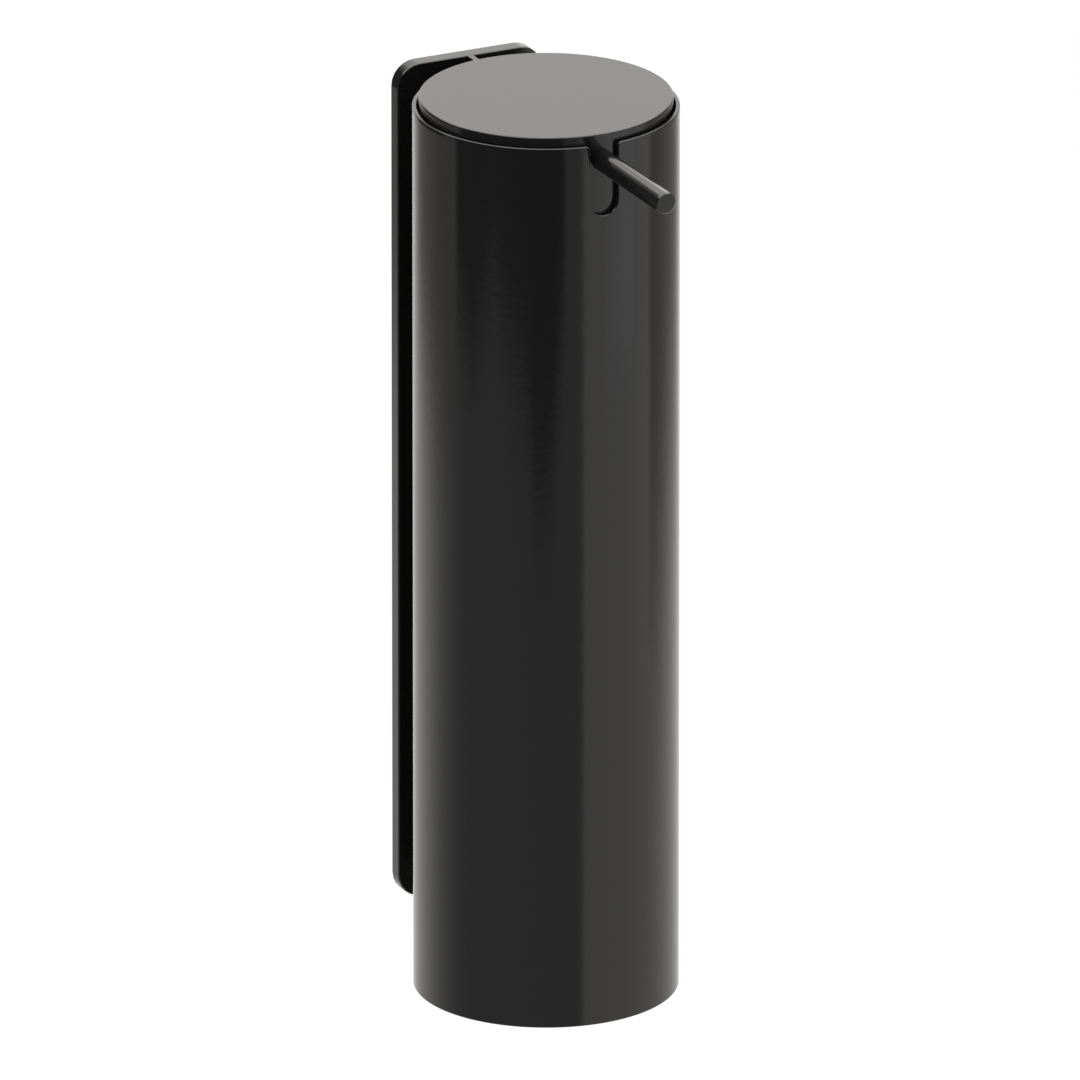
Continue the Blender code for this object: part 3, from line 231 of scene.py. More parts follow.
def cut_sheet(name, corners, low, high, low_round=0.15, high_round=0.15, order=(0, 2, 1)):
    """An outline of (u, v, round) corners in mm, from w = low to w = high, with its two edges rounded.

    A row of the grid is the outline moved inwards: point = corner - inset * (n1 + n2) / (1 + n1.n2), with n1
    and n2 the outward normals of the two sides that meet there. Inset and w follow a quarter circle at each
    edge, flat faces close the ends, and order puts u, v and w on the axes.
    """
    line = rounded_line(corners, closed=True)
    side = np.roll(line, -1, 0) - line
    side /= np.linalg.norm(side, axis=1, keepdims=True)
    area = (line[:, 0] * np.roll(line[:, 1], -1) - np.roll(line[:, 0], -1) * line[:, 1]).sum()
    normal = np.stack([side[:, 1], -side[:, 0]], -1) * np.sign(area)
    before = np.roll(normal, 1, 0)
    outward = (normal + before) / (1 + (normal * before).sum(1, keepdims=True))
    turn = np.linspace(0, math.pi / 2, ARC_STEPS + 1)
    inset = np.concatenate([low_round * (1 - np.sin(turn)), high_round * (1 - np.cos(turn))]) * MM
    level = np.concatenate([low + low_round * (1 - np.cos(turn)),
                            high - high_round * (1 - np.sin(turn))]) * MM
    flat = line[None] - inset[:, None, None] * outward[None]
    points = np.concatenate([flat, np.broadcast_to(level[:, None, None], flat.shape[:2] + (1,))], -1)
    return solid(name, capped(points[:, :, list(order)]))


rim_front = upright(TUBE_RADIUS, -math.pi / 2, 0.0)
print("the rim's front point, mm:", (rim_front / MM).round(1).tolist())


# %% [markdown]
# ## Finishes
#
# Each finish starts from the real one. A material's colour is written as the sRGB hex value that a paint
# chart or a picture gives, and one function turns it to the linear values that light is worked out with.
# Patterns read Object coordinates, which are metres here: a Noise Texture of scale 500 has one blob each 2
# mm.


# %% Colours and nodes
def linear(colour):
    """'#rrggbb' to linear: c / 12.92 below 0.04045, else ((c + 0.055) / 1.055) to the power 2.4."""
    c = np.array([int(colour[start:start + 2], 16) for start in (1, 3, 5)]) / 255
    return (*np.where(c <= 0.04045, c / 12.92, ((c + 0.055) / 1.055) ** 2.4).tolist(), 1.0)


def add(tree, kind, settings=None, links=None):
    """Adds a node, sets its sockets or properties by name, and links its sockets to others' outputs."""
    node = tree.nodes.new(kind)
    for name, value in (settings or {}).items():
        if isinstance(name, int) or name in node.inputs:
            node.inputs[name].default_value = value
        else:
            setattr(node, name, value)
    for name, output in (links or {}).items():
        tree.links.new(output, node.inputs[name])
    return node


def finish_named(name):
    """A new material's tree with its shader and the Object coordinates."""
    material = bpy.data.materials.new(name)
    material.use_nodes = True
    tree = material.node_tree
    place = add(tree, "ShaderNodeTexCoord").outputs["Object"]
    return material, tree, tree.nodes["Principled BSDF"], place


print("a mid grey #808080 is", round(linear("#808080")[0], 3), "in linear light")

# %% [markdown]
# ### Gloss black lacquer
#
# Sprayed and stoved lacquer flows out before it sets, but not quite: its skin keeps a faint waviness with a
# wavelength of one to three millimetres, called orange peel. The eye reads it in reflections, whose edges
# turn soft and slightly ragged. Two noises make it: a long one for the flow and a short one for the spray.
# A third, slow one varies the roughness a little, as handling and flow do. The colour itself is nearly
# black, so what one sees is the studio in the surface, more and more of it towards the edges.

# %% Gloss and satin lacquers


def lacquer(name, colour, gloss, spread, peel_height, grain_height):
    """Roughness = gloss + spread * slow noise; height = peel * 2.4 mm noise + grain * 0.4 mm noise."""
    material, tree, shader, place = finish_named(name)
    shader.inputs["Base Color"].default_value = linear(colour)
    flow = add(tree, "ShaderNodeTexNoise", {"Scale": 60, "Detail": 2}, {"Vector": place})
    rough = add(tree, "ShaderNodeMapRange", {"To Min": gloss, "To Max": gloss + spread},
                {"Value": flow.outputs[0]})
    tree.links.new(rough.outputs["Result"], shader.inputs["Roughness"])
    peel = add(tree, "ShaderNodeTexNoise", {"Scale": 420, "Detail": 1}, {"Vector": place})
    grain = add(tree, "ShaderNodeTexNoise", {"Scale": 2500, "Detail": 1}, {"Vector": place})
    wave = add(tree, "ShaderNodeBump", {"Strength": 1.0, "Distance": peel_height * MM},
               {"Height": peel.outputs[0]})
    spray = add(tree, "ShaderNodeBump", {"Strength": 1.0, "Distance": grain_height * MM},
                {"Height": grain.outputs[0], "Normal": wave.outputs["Normal"]})
    tree.links.new(spray.outputs["Normal"], shader.inputs["Normal"])
    return material


tube_lacquer = lacquer("semi_gloss_black_lacquer", "#151515", 0.08, 0.04, 0.012, 0.0004)
cap_lacquer = lacquer("fine_black_lacquer", "#151515", 0.11, 0.03, 0.003, 0.0006)
print("lacquers:", tube_lacquer.name, cap_lacquer.name)

# %% [markdown]
# ### Zinc, spring wire, mouldings and rubber
#
# The wall bracket is passivated zinc plate: bright, cool and faintly streaked along the strip that it was
# stamped from. Real streaks are finer; these are as coarse as they need to be to show. The spring and balls
# are stainless steel, drawn or ground. The pump and bottle are natural polypropylene and polyethylene,
# which let light in and scatter it, so they look milky. The collar and hub are black polypropylene from an
# eroded mould, with a fine matt grain. Seals are plain black rubber.


# %% Metal, plastic and rubber
def metal(name, colour, shade, gloss, spread, scale, stretch, grain_height):
    """Two tints and the roughness follow one noise, stretched along Z, and a fine grain bumps the surface."""
    material, tree, shader, place = finish_named(name)
    shader.inputs["Metallic"].default_value = 1.0
    drawn = add(tree, "ShaderNodeMapping", {"Scale": (1.0, 1.0, 1 / stretch)}, {"Vector": place}).outputs[0]
    cloud = add(tree, "ShaderNodeTexNoise", {"Scale": scale, "Detail": 5}, {"Vector": drawn})
    tint = add(tree, "ShaderNodeMix", {"data_type": "RGBA", 6: linear(colour), 7: linear(shade)},
               {0: cloud.outputs[0]})
    tree.links.new(tint.outputs[2], shader.inputs["Base Color"])
    rough = add(tree, "ShaderNodeMapRange", {"To Min": gloss, "To Max": gloss + spread},
                {"Value": cloud.outputs[0]})
    tree.links.new(rough.outputs["Result"], shader.inputs["Roughness"])
    grain = add(tree, "ShaderNodeTexNoise", {"Scale": 3000, "Detail": 2}, {"Vector": place})
    bump = add(tree, "ShaderNodeBump", {"Distance": grain_height * MM}, {"Height": grain.outputs[0]})
    tree.links.new(bump.outputs["Normal"], shader.inputs["Normal"])
    return material


def moulding(name, colour, shade, rough, scatter, grain_scale, grain_height):
    """Two close tints mixed by a slow noise, light scattered just under the surface, and a mould's grain."""
    material, tree, shader, place = finish_named(name)
    cloud = add(tree, "ShaderNodeTexNoise", {"Scale": 90, "Detail": 3}, {"Vector": place})
    tint = add(tree, "ShaderNodeMix", {"data_type": "RGBA", 6: linear(colour), 7: linear(shade)},
               {0: cloud.outputs[0]})
    tree.links.new(tint.outputs[2], shader.inputs["Base Color"])
    shader.inputs["Roughness"].default_value = rough
    shader.inputs["IOR"].default_value = 1.5
    shader.inputs["Subsurface Weight"].default_value = scatter
    shader.inputs["Subsurface Radius"].default_value = (1.0, 1.0, 0.9)
    shader.inputs["Subsurface Scale"].default_value = 2.0 * MM
    grain = add(tree, "ShaderNodeTexNoise", {"Scale": grain_scale, "Detail": 2}, {"Vector": place})
    bump = add(tree, "ShaderNodeBump", {"Distance": grain_height * MM}, {"Height": grain.outputs[0]})
    tree.links.new(bump.outputs["Normal"], shader.inputs["Normal"])
    return material


zinc = metal("passivated_zinc_plate", "#c3c5c4", "#a4adb9", 0.16, 0.36, 220, 12, 0.004)
spring_wire = metal("stainless_spring_wire", "#c8c7c2", "#bdbcb8", 0.16, 0.10, 900, 1, 0.001)
bottle_plastic = moulding("natural_polyethylene", "#e3e4de", "#dedfd8", 0.34, 0.5, 700, 0.008)
pump_plastic = moulding("natural_polypropylene", "#e9eae6", "#e1e3df", 0.26, 0.5, 1500, 0.003)
black_moulding = moulding("black_polypropylene", "#1a1a1b", "#202021", 0.46, 0.0, 1800, 0.010)
seal_rubber = moulding("black_seal_rubber", "#1d1d1e", "#242424", 0.62, 0.0, 2500, 0.006)
print("finishes:", len(bpy.data.materials), "materials in the file")

# %% [markdown]
# ## Closing off a piece
#
# A new piece gets its finish, rides on the CAD body that it belongs to, and hides the CAD node that it
# stands for. Smooth shading with weighted normals keeps the flats flat and lets the small rounds carry the
# highlight.


# %% Finish, ride and replace
SHARP_ANGLE = math.radians(38)


def finished(made, material, body):
    """Shades, paints and seats a piece, and prints its size in mm and whether it is closed."""
    mesh = made.data
    mesh.materials.clear()
    mesh.materials.append(material)
    mesh.shade_smooth()
    mesh.set_sharp_from_angle(angle=SHARP_ANGLE)
    weigh = made.modifiers.new("weighted_normals", "WEIGHTED_NORMAL")
    weigh.keep_sharp = True
    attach(made, body)
    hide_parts(made.name.removesuffix("_look"))
    shape = bmesh.new()
    shape.from_mesh(mesh)
    bad, volume = sum(not edge.is_manifold for edge in shape.edges), shape.calc_volume(signed=True)
    shape.free()
    print("%-18s %6d faces, %5.1f x %5.1f x %5.1f mm, %d open edges, %.2f cm3"
          % (made.name, len(mesh.polygons), *(made.dimensions / MM), bad, volume * 1e6))
    return made


print("edges that turn by more than %.0f degrees stay sharp" % math.degrees(SHARP_ANGLE))

# %% [markdown]
# ## The housing tube
#
# The real tube is cut and polished at its rim, and the slot is milled through the wall. The mesh is made as
# the flat sheet that the tube would unroll to: a regular grid everywhere, except in a window round the
# slot, where the rows bend to follow the slot's edge. Then the sheet is rolled up. The rim and the slot
# share one edge line, so one ribbon with a rounded section closes the wall all the way round.

# %% The sheet's edge line
WALL = 1.0 * MM
EDGE_ROUND = 0.25 * MM
SLOT_HALF = 3.5 * MM
SLOT_DROP = 16.8 * MM
MOUTH_ROUND = 1.0 * MM
WINDOW_HALF = 7.0 * MM
WINDOW_DROP = 20.5 * MM
MOUTH_STEPS, SIDE_STEPS, FOOT_STEPS = 6, 14, 12


def slot_edge(inset):
    """The slot's edge, moved into the metal by inset, from the left end of its mouth to the right one.

    Mouth: a quarter circle of radius (round - inset) about (-(half + round), round). Side: straight down at
    -(half + inset). Foot: a half circle of radius (half + inset). The right side mirrors the left.
    """
    bend = np.linspace(math.pi / 2, 0, MOUTH_STEPS + 1)[None]
    side = np.linspace(0, 1, SIDE_STEPS + 1)[None, 1:]
    foot = np.linspace(0, math.pi / 2, FOOT_STEPS + 1)[None, 1:]
    arc_drop = SLOT_DROP - SLOT_HALF
    across = np.concatenate([-(SLOT_HALF + MOUTH_ROUND) + (MOUTH_ROUND - inset) * np.cos(bend),
                             -(SLOT_HALF + inset) * np.ones_like(side),
                             -(SLOT_HALF + inset) * np.cos(foot)], 1)
    drop = np.concatenate([MOUTH_ROUND - (MOUTH_ROUND - inset) * np.sin(bend),
                           MOUTH_ROUND + (arc_drop - MOUTH_ROUND) * side * np.ones_like(inset),
                           arc_drop + (SLOT_HALF + inset) * np.sin(foot)], 1)
    return (np.concatenate([across, -across[:, -2::-1]], 1), np.concatenate([drop, drop[:, -2::-1]], 1))


edge_across, edge_drop = slot_edge(np.array([[EDGE_ROUND]]))
SLOT_POINTS = edge_across.shape[1]
# The points down to halfway round a quarter of the foot face a side of the window, the rest its foot.
CORNER = 1 + MOUTH_STEPS + SIDE_STEPS + FOOT_STEPS // 2
print("slot edge:", SLOT_POINTS, "points, lowest", round(edge_drop.max() / MM, 2), "mm below the rim")

# %% [markdown]
# The window's rows lead from its frame, which fits the regular grid, to the slot's edge. So every face is a
# quad and no long thin triangle breaks the gloss. One function then rolls the flat sheet round the axis,
# once for the outside and once for the inside, a wall's thickness deeper.

# %% Roll the sheet up
FAR_COLUMNS, LOW_ROWS, FRAME_ROWS = 321, 14, 9


def rolled(across, drop, depth):
    """turn = across / R and r = R - depth give (r sin turn, axis - r cos turn, rim - drop)."""
    turn, radius = across / TUBE_RADIUS, TUBE_RADIUS - depth
    return stacked(radius * np.sin(turn), AXIS_Y - radius * np.cos(turn), RIM_Z - drop)


girth = math.tau * TUBE_RADIUS
window_rows = np.linspace(EDGE_ROUND, WINDOW_DROP, CORNER)
window_columns = np.linspace(-WINDOW_HALF, WINDOW_HALF, SLOT_POINTS - 2 * (CORNER - 1))
far_columns = np.linspace(WINDOW_HALF, girth - WINDOW_HALF, FAR_COLUMNS)
low_rows = np.linspace(WINDOW_DROP, TUBE_HEIGHT - EDGE_ROUND, LOW_ROWS)
frame_across = np.concatenate([np.full(CORNER - 1, -WINDOW_HALF), window_columns,
                               np.full(CORNER - 1, WINDOW_HALF)])
frame_drop = np.concatenate([window_rows[:-1], np.full(len(window_columns), WINDOW_DROP),
                             window_rows[-2::-1]])
share = np.linspace(0, 1, FRAME_ROWS)[:, None]
all_columns = np.concatenate([window_columns[:-1], far_columns[:-1]])


def sheet_side(depth):
    """One face of the sheet: beside the window, below it, and the window's rows from frame to slot."""
    between_across = (1 - share) * frame_across + share * edge_across
    between_drop = (1 - share) * frame_drop + share * edge_drop
    return [grid(rolled(far_columns[None], window_rows[:, None], depth)),
            grid(rolled(all_columns[None], low_rows[:, None], depth), columns_meet=True),
            grid(rolled(between_across, between_drop, depth))]


section = np.linspace(0, math.pi / 2, 6)[:, None]
ribbon_inset = EDGE_ROUND * np.concatenate([1 - np.sin(section), 1 - np.cos(section)])
ribbon_depth = np.concatenate([EDGE_ROUND * (1 - np.cos(section)), WALL - EDGE_ROUND * (1 - np.sin(section))])
slot_across, slot_drop = slot_edge(ribbon_inset)
left_rim = (-WINDOW_HALF + share.T * (WINDOW_HALF - SLOT_HALF - MOUTH_ROUND))[:, :-1]
rim_across = np.concatenate([left_rim + 0 * ribbon_inset, slot_across, -left_rim[:, ::-1] + 0 * ribbon_inset,
                             far_columns[None, 1:-1] + 0 * ribbon_inset], 1)
rim_drop = np.concatenate([0 * left_rim + ribbon_inset, slot_drop, 0 * left_rim + ribbon_inset,
                           0 * far_columns[None, 1:-1] + ribbon_inset], 1)
rim_ribbon = grid(rolled(rim_across, rim_drop, ribbon_depth), columns_meet=True)
foot_ribbon = grid(rolled(all_columns[None], TUBE_HEIGHT - ribbon_inset, ribbon_depth), columns_meet=True)
tube = solid("housing_tube_look", *sheet_side(0.0), *sheet_side(WALL), rim_ribbon, foot_ribbon)
finished(tube, tube_lacquer, "housing")

# %% [markdown]
# ## The base dish
#
# A pressed steel dish closes the foot of the tube and carries the bottle. It is turned here from its
# section: a flat floor with a drain hole, a press round, and a short skirt. All its small rounds face the
# tube's wall.

# %% Base dish
dish_line = rounded_line([(3.0, 203.6, 0.2), (28.98, 203.6, 1.2), (28.98, 209.6, 0.2), (27.5, 209.6, 0.2),
                          (27.5, 204.8, 0.6), (3.0, 204.8, 0.2)], closed=True)
dish = turned("base_dish_look", dish_line, steps=200, closed=True)
finished(dish, tube_lacquer, "housing")

# %% [markdown]
# ## The back plate and web
#
# The plate is a shallow tray, folded from sheet and ground smooth, so its corners are round seen from the
# front and its front edge is round too. It is cut out as a thick sheet, hollowed by a pocket for the wall
# bracket, and pierced by two slots for the web's hooks. From below, a small hole takes the screw that locks
# it.

# %% Back plate
HOOK_HEIGHTS = (-45, 45)
LOCK_DEPTH = 1.75 * MM


def box_outline(half_width, low, high, corner):
    """Four corners of an upright rectangle, in mm."""
    return [(-half_width, low, corner), (half_width, low, corner),
            (half_width, high, corner), (-half_width, high, corner)]


def drill(radius, start, end):
    """The section of a plain pin from start to end, in mm, which cuts a hole."""
    return rounded_line([(0, start, 0), (radius, start, 0), (radius, end, 0), (0, end, 0)])


plate = cut_sheet("back_plate_look", box_outline(18, -100, 100, 5.6), -3.5, 0, low_round=0.4, high_round=0.2)
pocket = cut_sheet("pocket", box_outline(16.8, -98.8, 98.8, 4.4), -2.3, 1, low_round=0.4, high_round=0)
block = cut_sheet("block", box_outline(4, -101, -94.8, 0), -5, 3, 0, 0)
carve(pocket, block)
hook_slots = [cut_sheet("hook_slot", box_outline(1.05, z - 3, z + 6.6, 0), -4.5, -1.2, 0, 0)
              for z in HOOK_HEIGHTS]
lock_hole = turned("lock_hole", drill(1.15, 192, 202), steps=40)
to_lock_axis = Matrix.Translation((0, -AXIS_Y - LOCK_DEPTH, 0))
lock_hole.data.transform(to_lock_axis)
carve(plate, pocket, *hook_slots, lock_hole)
finished(plate, cap_lacquer, "housing")

# %% [markdown]
# The web is a laser-cut strip whose edges the lacquer softens. It is seen edge-on, so its outline is drawn
# from the side, in depth and height and with its hooks, and `order` turns it upright.

# %% Spacer web


def hook_outline(z):
    """The hook that reaches through the plate and down behind the bracket's ledge, from z upwards."""
    return [(-3.45, z + 0.3, 0.1), (-0.9, z + 0.3, 0.2), (-0.9, z - 2.7, 0.2), (-0.3, z - 2.7, 0.25),
            (-0.3, z + 6.3, 0.3), (-3.45, z + 6.3, 0.1)]


low_hook, high_hook = (hook_outline(z) for z in HOOK_HEIGHTS)
web_corners = [(-12.75, -100, 0.1), (-3.45, -100, 0.1), *low_hook, *high_hook,
               (-3.45, 100, 0.1), (-12.75, 100, 0.1)]
web = cut_sheet("spacer_web_look", web_corners, -0.75, 0.75, 0.15, 0.15, order=(2, 0, 1))
finished(web, cap_lacquer, "housing")

# %% [markdown]
# ## The push cap and spout rod
#
# The cap is spun or deep drawn from one disc: a flat top, a small round, and a skirt that stays behind the
# slot as the cap is pressed. It is turned from its section, and a pin lying along the spout cuts the rod's
# hole. Its lacquer is finer than the tube's and shows one soft highlight instead of a mirror image.

# %% Push cap
cap_line = rounded_line([(0, -2.2, 0), (28.6, -2.2, 0.4), (28.6, 19.5, 0.2), (27.6, 19.5, 0.2),
                         (27.6, -0.7, 0.6), (0, -0.7, 0)])
cap = turned("push_cap_look", cap_line, steps=320)
carve(cap, turned("rod_hole", drill(2.54, 20, 31), steps=96, lay=forward))
finished(cap, cap_lacquer, "head")

# %% [markdown]
# The rod is a plain tube, closed and chamfered at its tip, with the outlet drilled into its underside. Its
# profile goes round a lying axis, and the drill is a second turned piece, moved out to its place and cut
# away.

# %% Spout rod
OUTLET_REACH = 56.8 * MM
rod_line = rounded_line([(0, 61, 0), (2.2, 61, 0.06), (2.5, 60.7, 0.06), (2.5, 6, 0.1), (1.4, 6, 0.1),
                         (1.4, 59.4, 0.3), (0, 59.4, 0)])
rod = turned("spout_rod_look", rod_line, steps=96, lay=forward)
outlet = turned("outlet", drill(1.4, 4, 8), steps=64)
outlet.data.transform(Matrix.Translation((0, -OUTLET_REACH, 0)))
carve(rod, outlet)
finished(rod, cap_lacquer, "head")

# %% [markdown]
# ## The wall bracket and its screw
#
# What hangs on the wall is a strip of zinc-plated steel, stamped from sheet, so its outline and its windows
# are sharp from the front and a little rounded behind. Two countersunk holes take the wall screws. Each of
# the web's hooks goes in at a window and drops behind a ledge, and a grub screw from below then keeps it
# there.

# %% Wall bracket
SCREW_HEIGHTS = (-70, 70)


def through(radius, turn, depth):
    """(r cos t, -depth, r sin t): round an axis that points out of the wall"""
    return stacked(radius * np.cos(turn), -depth, radius * np.sin(turn))


bracket = cut_sheet("wall_bracket_look", box_outline(15.8, -91.2, 97.3, 5.0), -2.0, 0, 0.15, 0.3)
sink_line = rounded_line([(0, 3, 0), (3.75, 3, 0), (3.75, 2, 0), (2.25, 0.5, 0.2), (2.25, -1, 0), (0, -1, 0)])
cutters = []
for z in SCREW_HEIGHTS:
    hole = turned("screw_hole", sink_line, steps=72, lay=through)
    hole.data.transform(Matrix.Translation((0, 0, z * MM)))
    cutters.append(hole)
for z in HOOK_HEIGHTS:
    cutters += [cut_sheet("window", box_outline(1.05, z, z + 12.6, 0.3), -3, 1, 0, 0),
                cut_sheet("ledge", box_outline(1.05, z - 3.3, z + 6, 0), -1.2, 1, 0, 0)]
carve(bracket, *cutters)
finished(bracket, zinc, "housing")

# %% [markdown]
# A grub screw is a threaded pin with a hexagon socket. Its thread is a V that winds round: the radius
# depends on turn and height together, through the phase turn + tau * height / pitch.

# %% Locking screw
SCREW_PITCH, SCREW_THREAD = 0.4, 0.2


def screw_thread(radius, turn, drop):
    """Radius - thread * triangle wave of the phase, only on the pin's side and not at its two ends."""
    phase = turn / math.tau + drop / (SCREW_PITCH * MM)
    groove = np.abs(2 * (phase - np.floor(phase)) - 1)
    ends = np.clip((drop / MM - 192.5) / 0.5, 0, 1) * np.clip((200.3 - drop / MM) / 0.4, 0, 1)
    return radius - SCREW_THREAD * MM * groove * ends * (radius > 0.95 * MM)


pin_line = rounded_line([(0, 192.3, 0), (0.7, 192.3, 0), (1.0, 192.6, 0), (1.0, 200.4, 0.1), (0, 200.4, 0)])
screw = turned("locking_screw_look", finer(pin_line, 0.05, 192.6, 200.35), steps=40, shape=screw_thread)
carve(screw, turned("hexagon", drill(0.55, 199, 202), steps=6))
screw.data.transform(to_lock_axis)
finished(screw, zinc, "housing")

# %% [markdown]
# ## The bottle
#
# The bottle is blow-moulded: one wall follows the mould from the lip over the shoulder to a pushed-up foot,
# and every corner is round because soft plastic was blown into it. Two details aren't turned. The neck's
# thread is a ridge that climbs one pitch a turn, and the parting line is where the two halves of the mould
# met.

# %% Soap bottle
THREAD_PITCH, THREAD_HEIGHT = 4.23, 0.3
SEAM_WIDTH, SEAM_HEIGHT = 0.4, 0.08


def blown(radius, turn, drop):
    """Radius + thread + parting line.

    Thread: height * (0.5 + 0.5 cos(turn + tau * drop / pitch)) to the power 4, faded over 1 mm at its ends.
    Parting line: height * exp(-(distance from the plane through the axis / width) squared).
    """
    outside = radius > 13.9 * MM
    ridge = (0.5 + 0.5 * np.cos(turn + math.tau * drop / (THREAD_PITCH * MM))) ** 4
    ends = np.clip(drop / MM - 31.4, 0, 1) * np.clip(40.2 - drop / MM, 0, 1)
    seam = np.exp(-(radius * np.sin(turn) / (SEAM_WIDTH * MM)) ** 2) * (drop > 42.8 * MM)
    return radius + outside * (THREAD_HEIGHT * ridge * ends + SEAM_HEIGHT * seam) * MM


bottle_line = rounded_line([
    (0, 200.1, 0), (19.8, 200.1, 0.8), (21, 202.1, 0.8), (26.8, 202.1, 1.8), (26.8, 46.9, 4.8),
    (12, 43.9, 0.8), (12, 30.7, 0.3), (14, 30.7, 0.3), (14, 40.7, 0.15), (15.4, 40.7, 0.25),
    (15.4, 41.7, 0.25), (14, 41.7, 0.15), (14, 42.7, 0.5), (28, 45.7, 6), (28, 203.3, 3),
    (21, 203.3, 0.8), (19.8, 201.3, 0.8), (0, 201.3, 0)])
bottle = turned("soap_bottle_look", finer(bottle_line, 0.2, 31, 40.6), steps=300, shape=blown)
finished(bottle, bottle_plastic, "cartridge")

# %% [markdown]
# ## The pump
#
# Under the cap works the usual lotion pump. The barrel hangs in the neck and holds a ball over its inlet,
# the stem carries a piston with two cupped lips, and a spring lifts them. All these mouldings are turned
# shapes with thin walls, so each is one closed section carried round the axis.

# %% Barrel, guide, gasket and dip tube
barrel_line = rounded_line([
    (6.5, 27.9, 0.2), (13.6, 27.9, 0.3), (13.6, 29.1, 0.3), (8, 29.1, 0.4), (8, 71, 0.3), (4.6, 74, 0.3),
    (4.6, 85.4, 0.2), (3.3, 85.4, 0.2), (3.3, 76.9, 0), (1.6, 76.9, 0.1), (1.6, 75.7, 0.1), (3.1, 75.7, 0.2),
    (3.1, 70.4, 0.1), (2, 70.4, 0.1), (2, 69.8, 0.1), (6.5, 69.8, 0.3)], closed=True)
finished(turned("pump_barrel_look", barrel_line, 96, closed=True), pump_plastic, "pump")
guide_line = rounded_line([(3.5, 26, 0.15), (9, 26, 0.3), (9, 27.6, 0.2), (6.2, 27.6, 0.2), (6.2, 35.6, 0.2),
                           (3.5, 35.6, 0.2)], closed=True)
finished(turned("stem_guide_look", guide_line, 96, closed=True), pump_plastic, "pump")
gasket_line = rounded_line([(8.3, 29.4, 0.2), (13.6, 29.4, 0.2), (13.6, 30.4, 0.2), (8.3, 30.4, 0.2)],
                           closed=True)
finished(turned("neck_gasket_look", gasket_line, 96, closed=True), seal_rubber, "pump")
dip_line = rounded_line([(2, 77.2, 0.15), (3, 77.2, 0.15), (3, 197.1, 0.15), (2, 197.1, 0.15)], closed=True)
finished(turned("dip_tube_look", dip_line, 64, closed=True), pump_plastic, "pump")

# %% [markdown]
# The stem is the hollow pin that the cap pushes down. The soft piston sits on it, above the flange at its
# foot, and its lips are drawn a little wider than its waist, because they wipe the barrel's wall.

# %% Stem and piston
stem_line = rounded_line([(1.6, 11.9, 0.2), (3.2, 11.9, 0.3), (3.2, 42.2, 0.2), (5.7, 42.2, 0.15),
                          (5.7, 43.2, 0.15), (1.6, 43.2, 0.2)], closed=True)
finished(turned("pump_stem_look", stem_line, 72, closed=True), pump_plastic, "head")
piston_line = rounded_line([
    (3.5, 36.2, 0.1), (5.4, 36.2, 0.1), (6.2, 35.9, 0.05), (6.2, 36.8, 0.1), (5.2, 37.1, 0.3),
    (5.2, 40.7, 0.3), (6.2, 41, 0.1), (6.2, 41.9, 0.05), (5.4, 41.6, 0.1), (3.5, 41.6, 0.1)], closed=True)
finished(turned("piston_look", piston_line, 96, closed=True), pump_plastic, "head")

# %% [markdown]
# A valve ball is ground from steel, and the spout's seal is a ring of round cord. Both come from a circle:
# half of one that turns about its own axis, and a whole one that turns about an axis beside it.

# %% Balls and spout seal


def round_line(radius, along, half=False, middle=0.0):
    """(middle + r sin a, along - r cos a) in mm: a half circle for a ball, a whole one for a ring's cord."""
    a = np.linspace(0, math.pi, 25) if half else np.linspace(0, math.tau, 24, endpoint=False)
    return stacked(middle + radius * np.sin(a), along - radius * np.cos(a)) * MM


inlet_ball = turned("inlet_ball_look", round_line(2.5, 73.7, half=True), 48)
finished(inlet_ball, spring_wire, "inlet_valve")
outlet_ball = turned("outlet_ball_look", round_line(2.0, 10.6, half=True), 48)
finished(outlet_ball, spring_wire, "outlet_valve")
seal = turned("spout_seal_look", round_line(0.45, 10.5, middle=3.1), 72, closed=True, lay=forward)
finished(seal, seal_rubber, "head")

# %% [markdown]
# The return spring is wound from hard wire on a coiling machine. Its first and last curls lie almost flat,
# so that it stands square, and the curls between climb evenly.

# %% Return spring
SPRING_TURNS = 10
SPRING_HIGH, SPRING_LOW = 43.9, 69.1
END_PITCH, END_TURNS, GROW_TURNS = 0.3, 0.6, 0.8


def smooth_step(t):
    """t squared * (3 - 2 t), which goes from 0 to 1 with t and is level at both ends."""
    return t ** 2 * (3 - 2 * t)


def coil(radius, wire, turns, steps_per_turn=32, ring_steps=12):
    """A ring of points round the wire at each step of a helix.

    The climb per turn is a share of the full pitch in the end curls and grows to it by a smooth step; its
    running sum gives the height. The ring lies across the path, between the outward direction and its cross
    product with the tangent.
    """
    turn = np.linspace(0, turns, turns * steps_per_turn + 1)
    inside = np.clip(np.minimum(turn, turns - turn) - END_TURNS, 0, GROW_TURNS) / GROW_TURNS
    pitch = END_PITCH + (1 - END_PITCH) * smooth_step(inside)
    climb = np.concatenate([[0], np.cumsum((pitch[1:] + pitch[:-1]) / 2)])
    climb /= climb[-1]
    angle = turn * math.tau
    outward = stacked(np.cos(angle), np.sin(angle), 0.0)
    drop = (SPRING_LOW + (SPRING_HIGH - SPRING_LOW) * climb) * MM
    path = outward * radius + stacked(0.0, AXIS_Y, RIM_Z - drop)
    tangent = np.gradient(path, axis=0)
    tangent /= np.linalg.norm(tangent, axis=1, keepdims=True)
    across = np.cross(tangent, outward)
    ring = np.linspace(0, math.tau, ring_steps, endpoint=False)[None, :, None]
    return path[:, None] + wire * (np.cos(ring) * outward[:, None] + np.sin(ring) * across[:, None])


spring = solid("return_spring_look", capped(coil(5.0 * MM, 0.4 * MM, SPRING_TURNS)))
finished(spring, spring_wire, "pump")
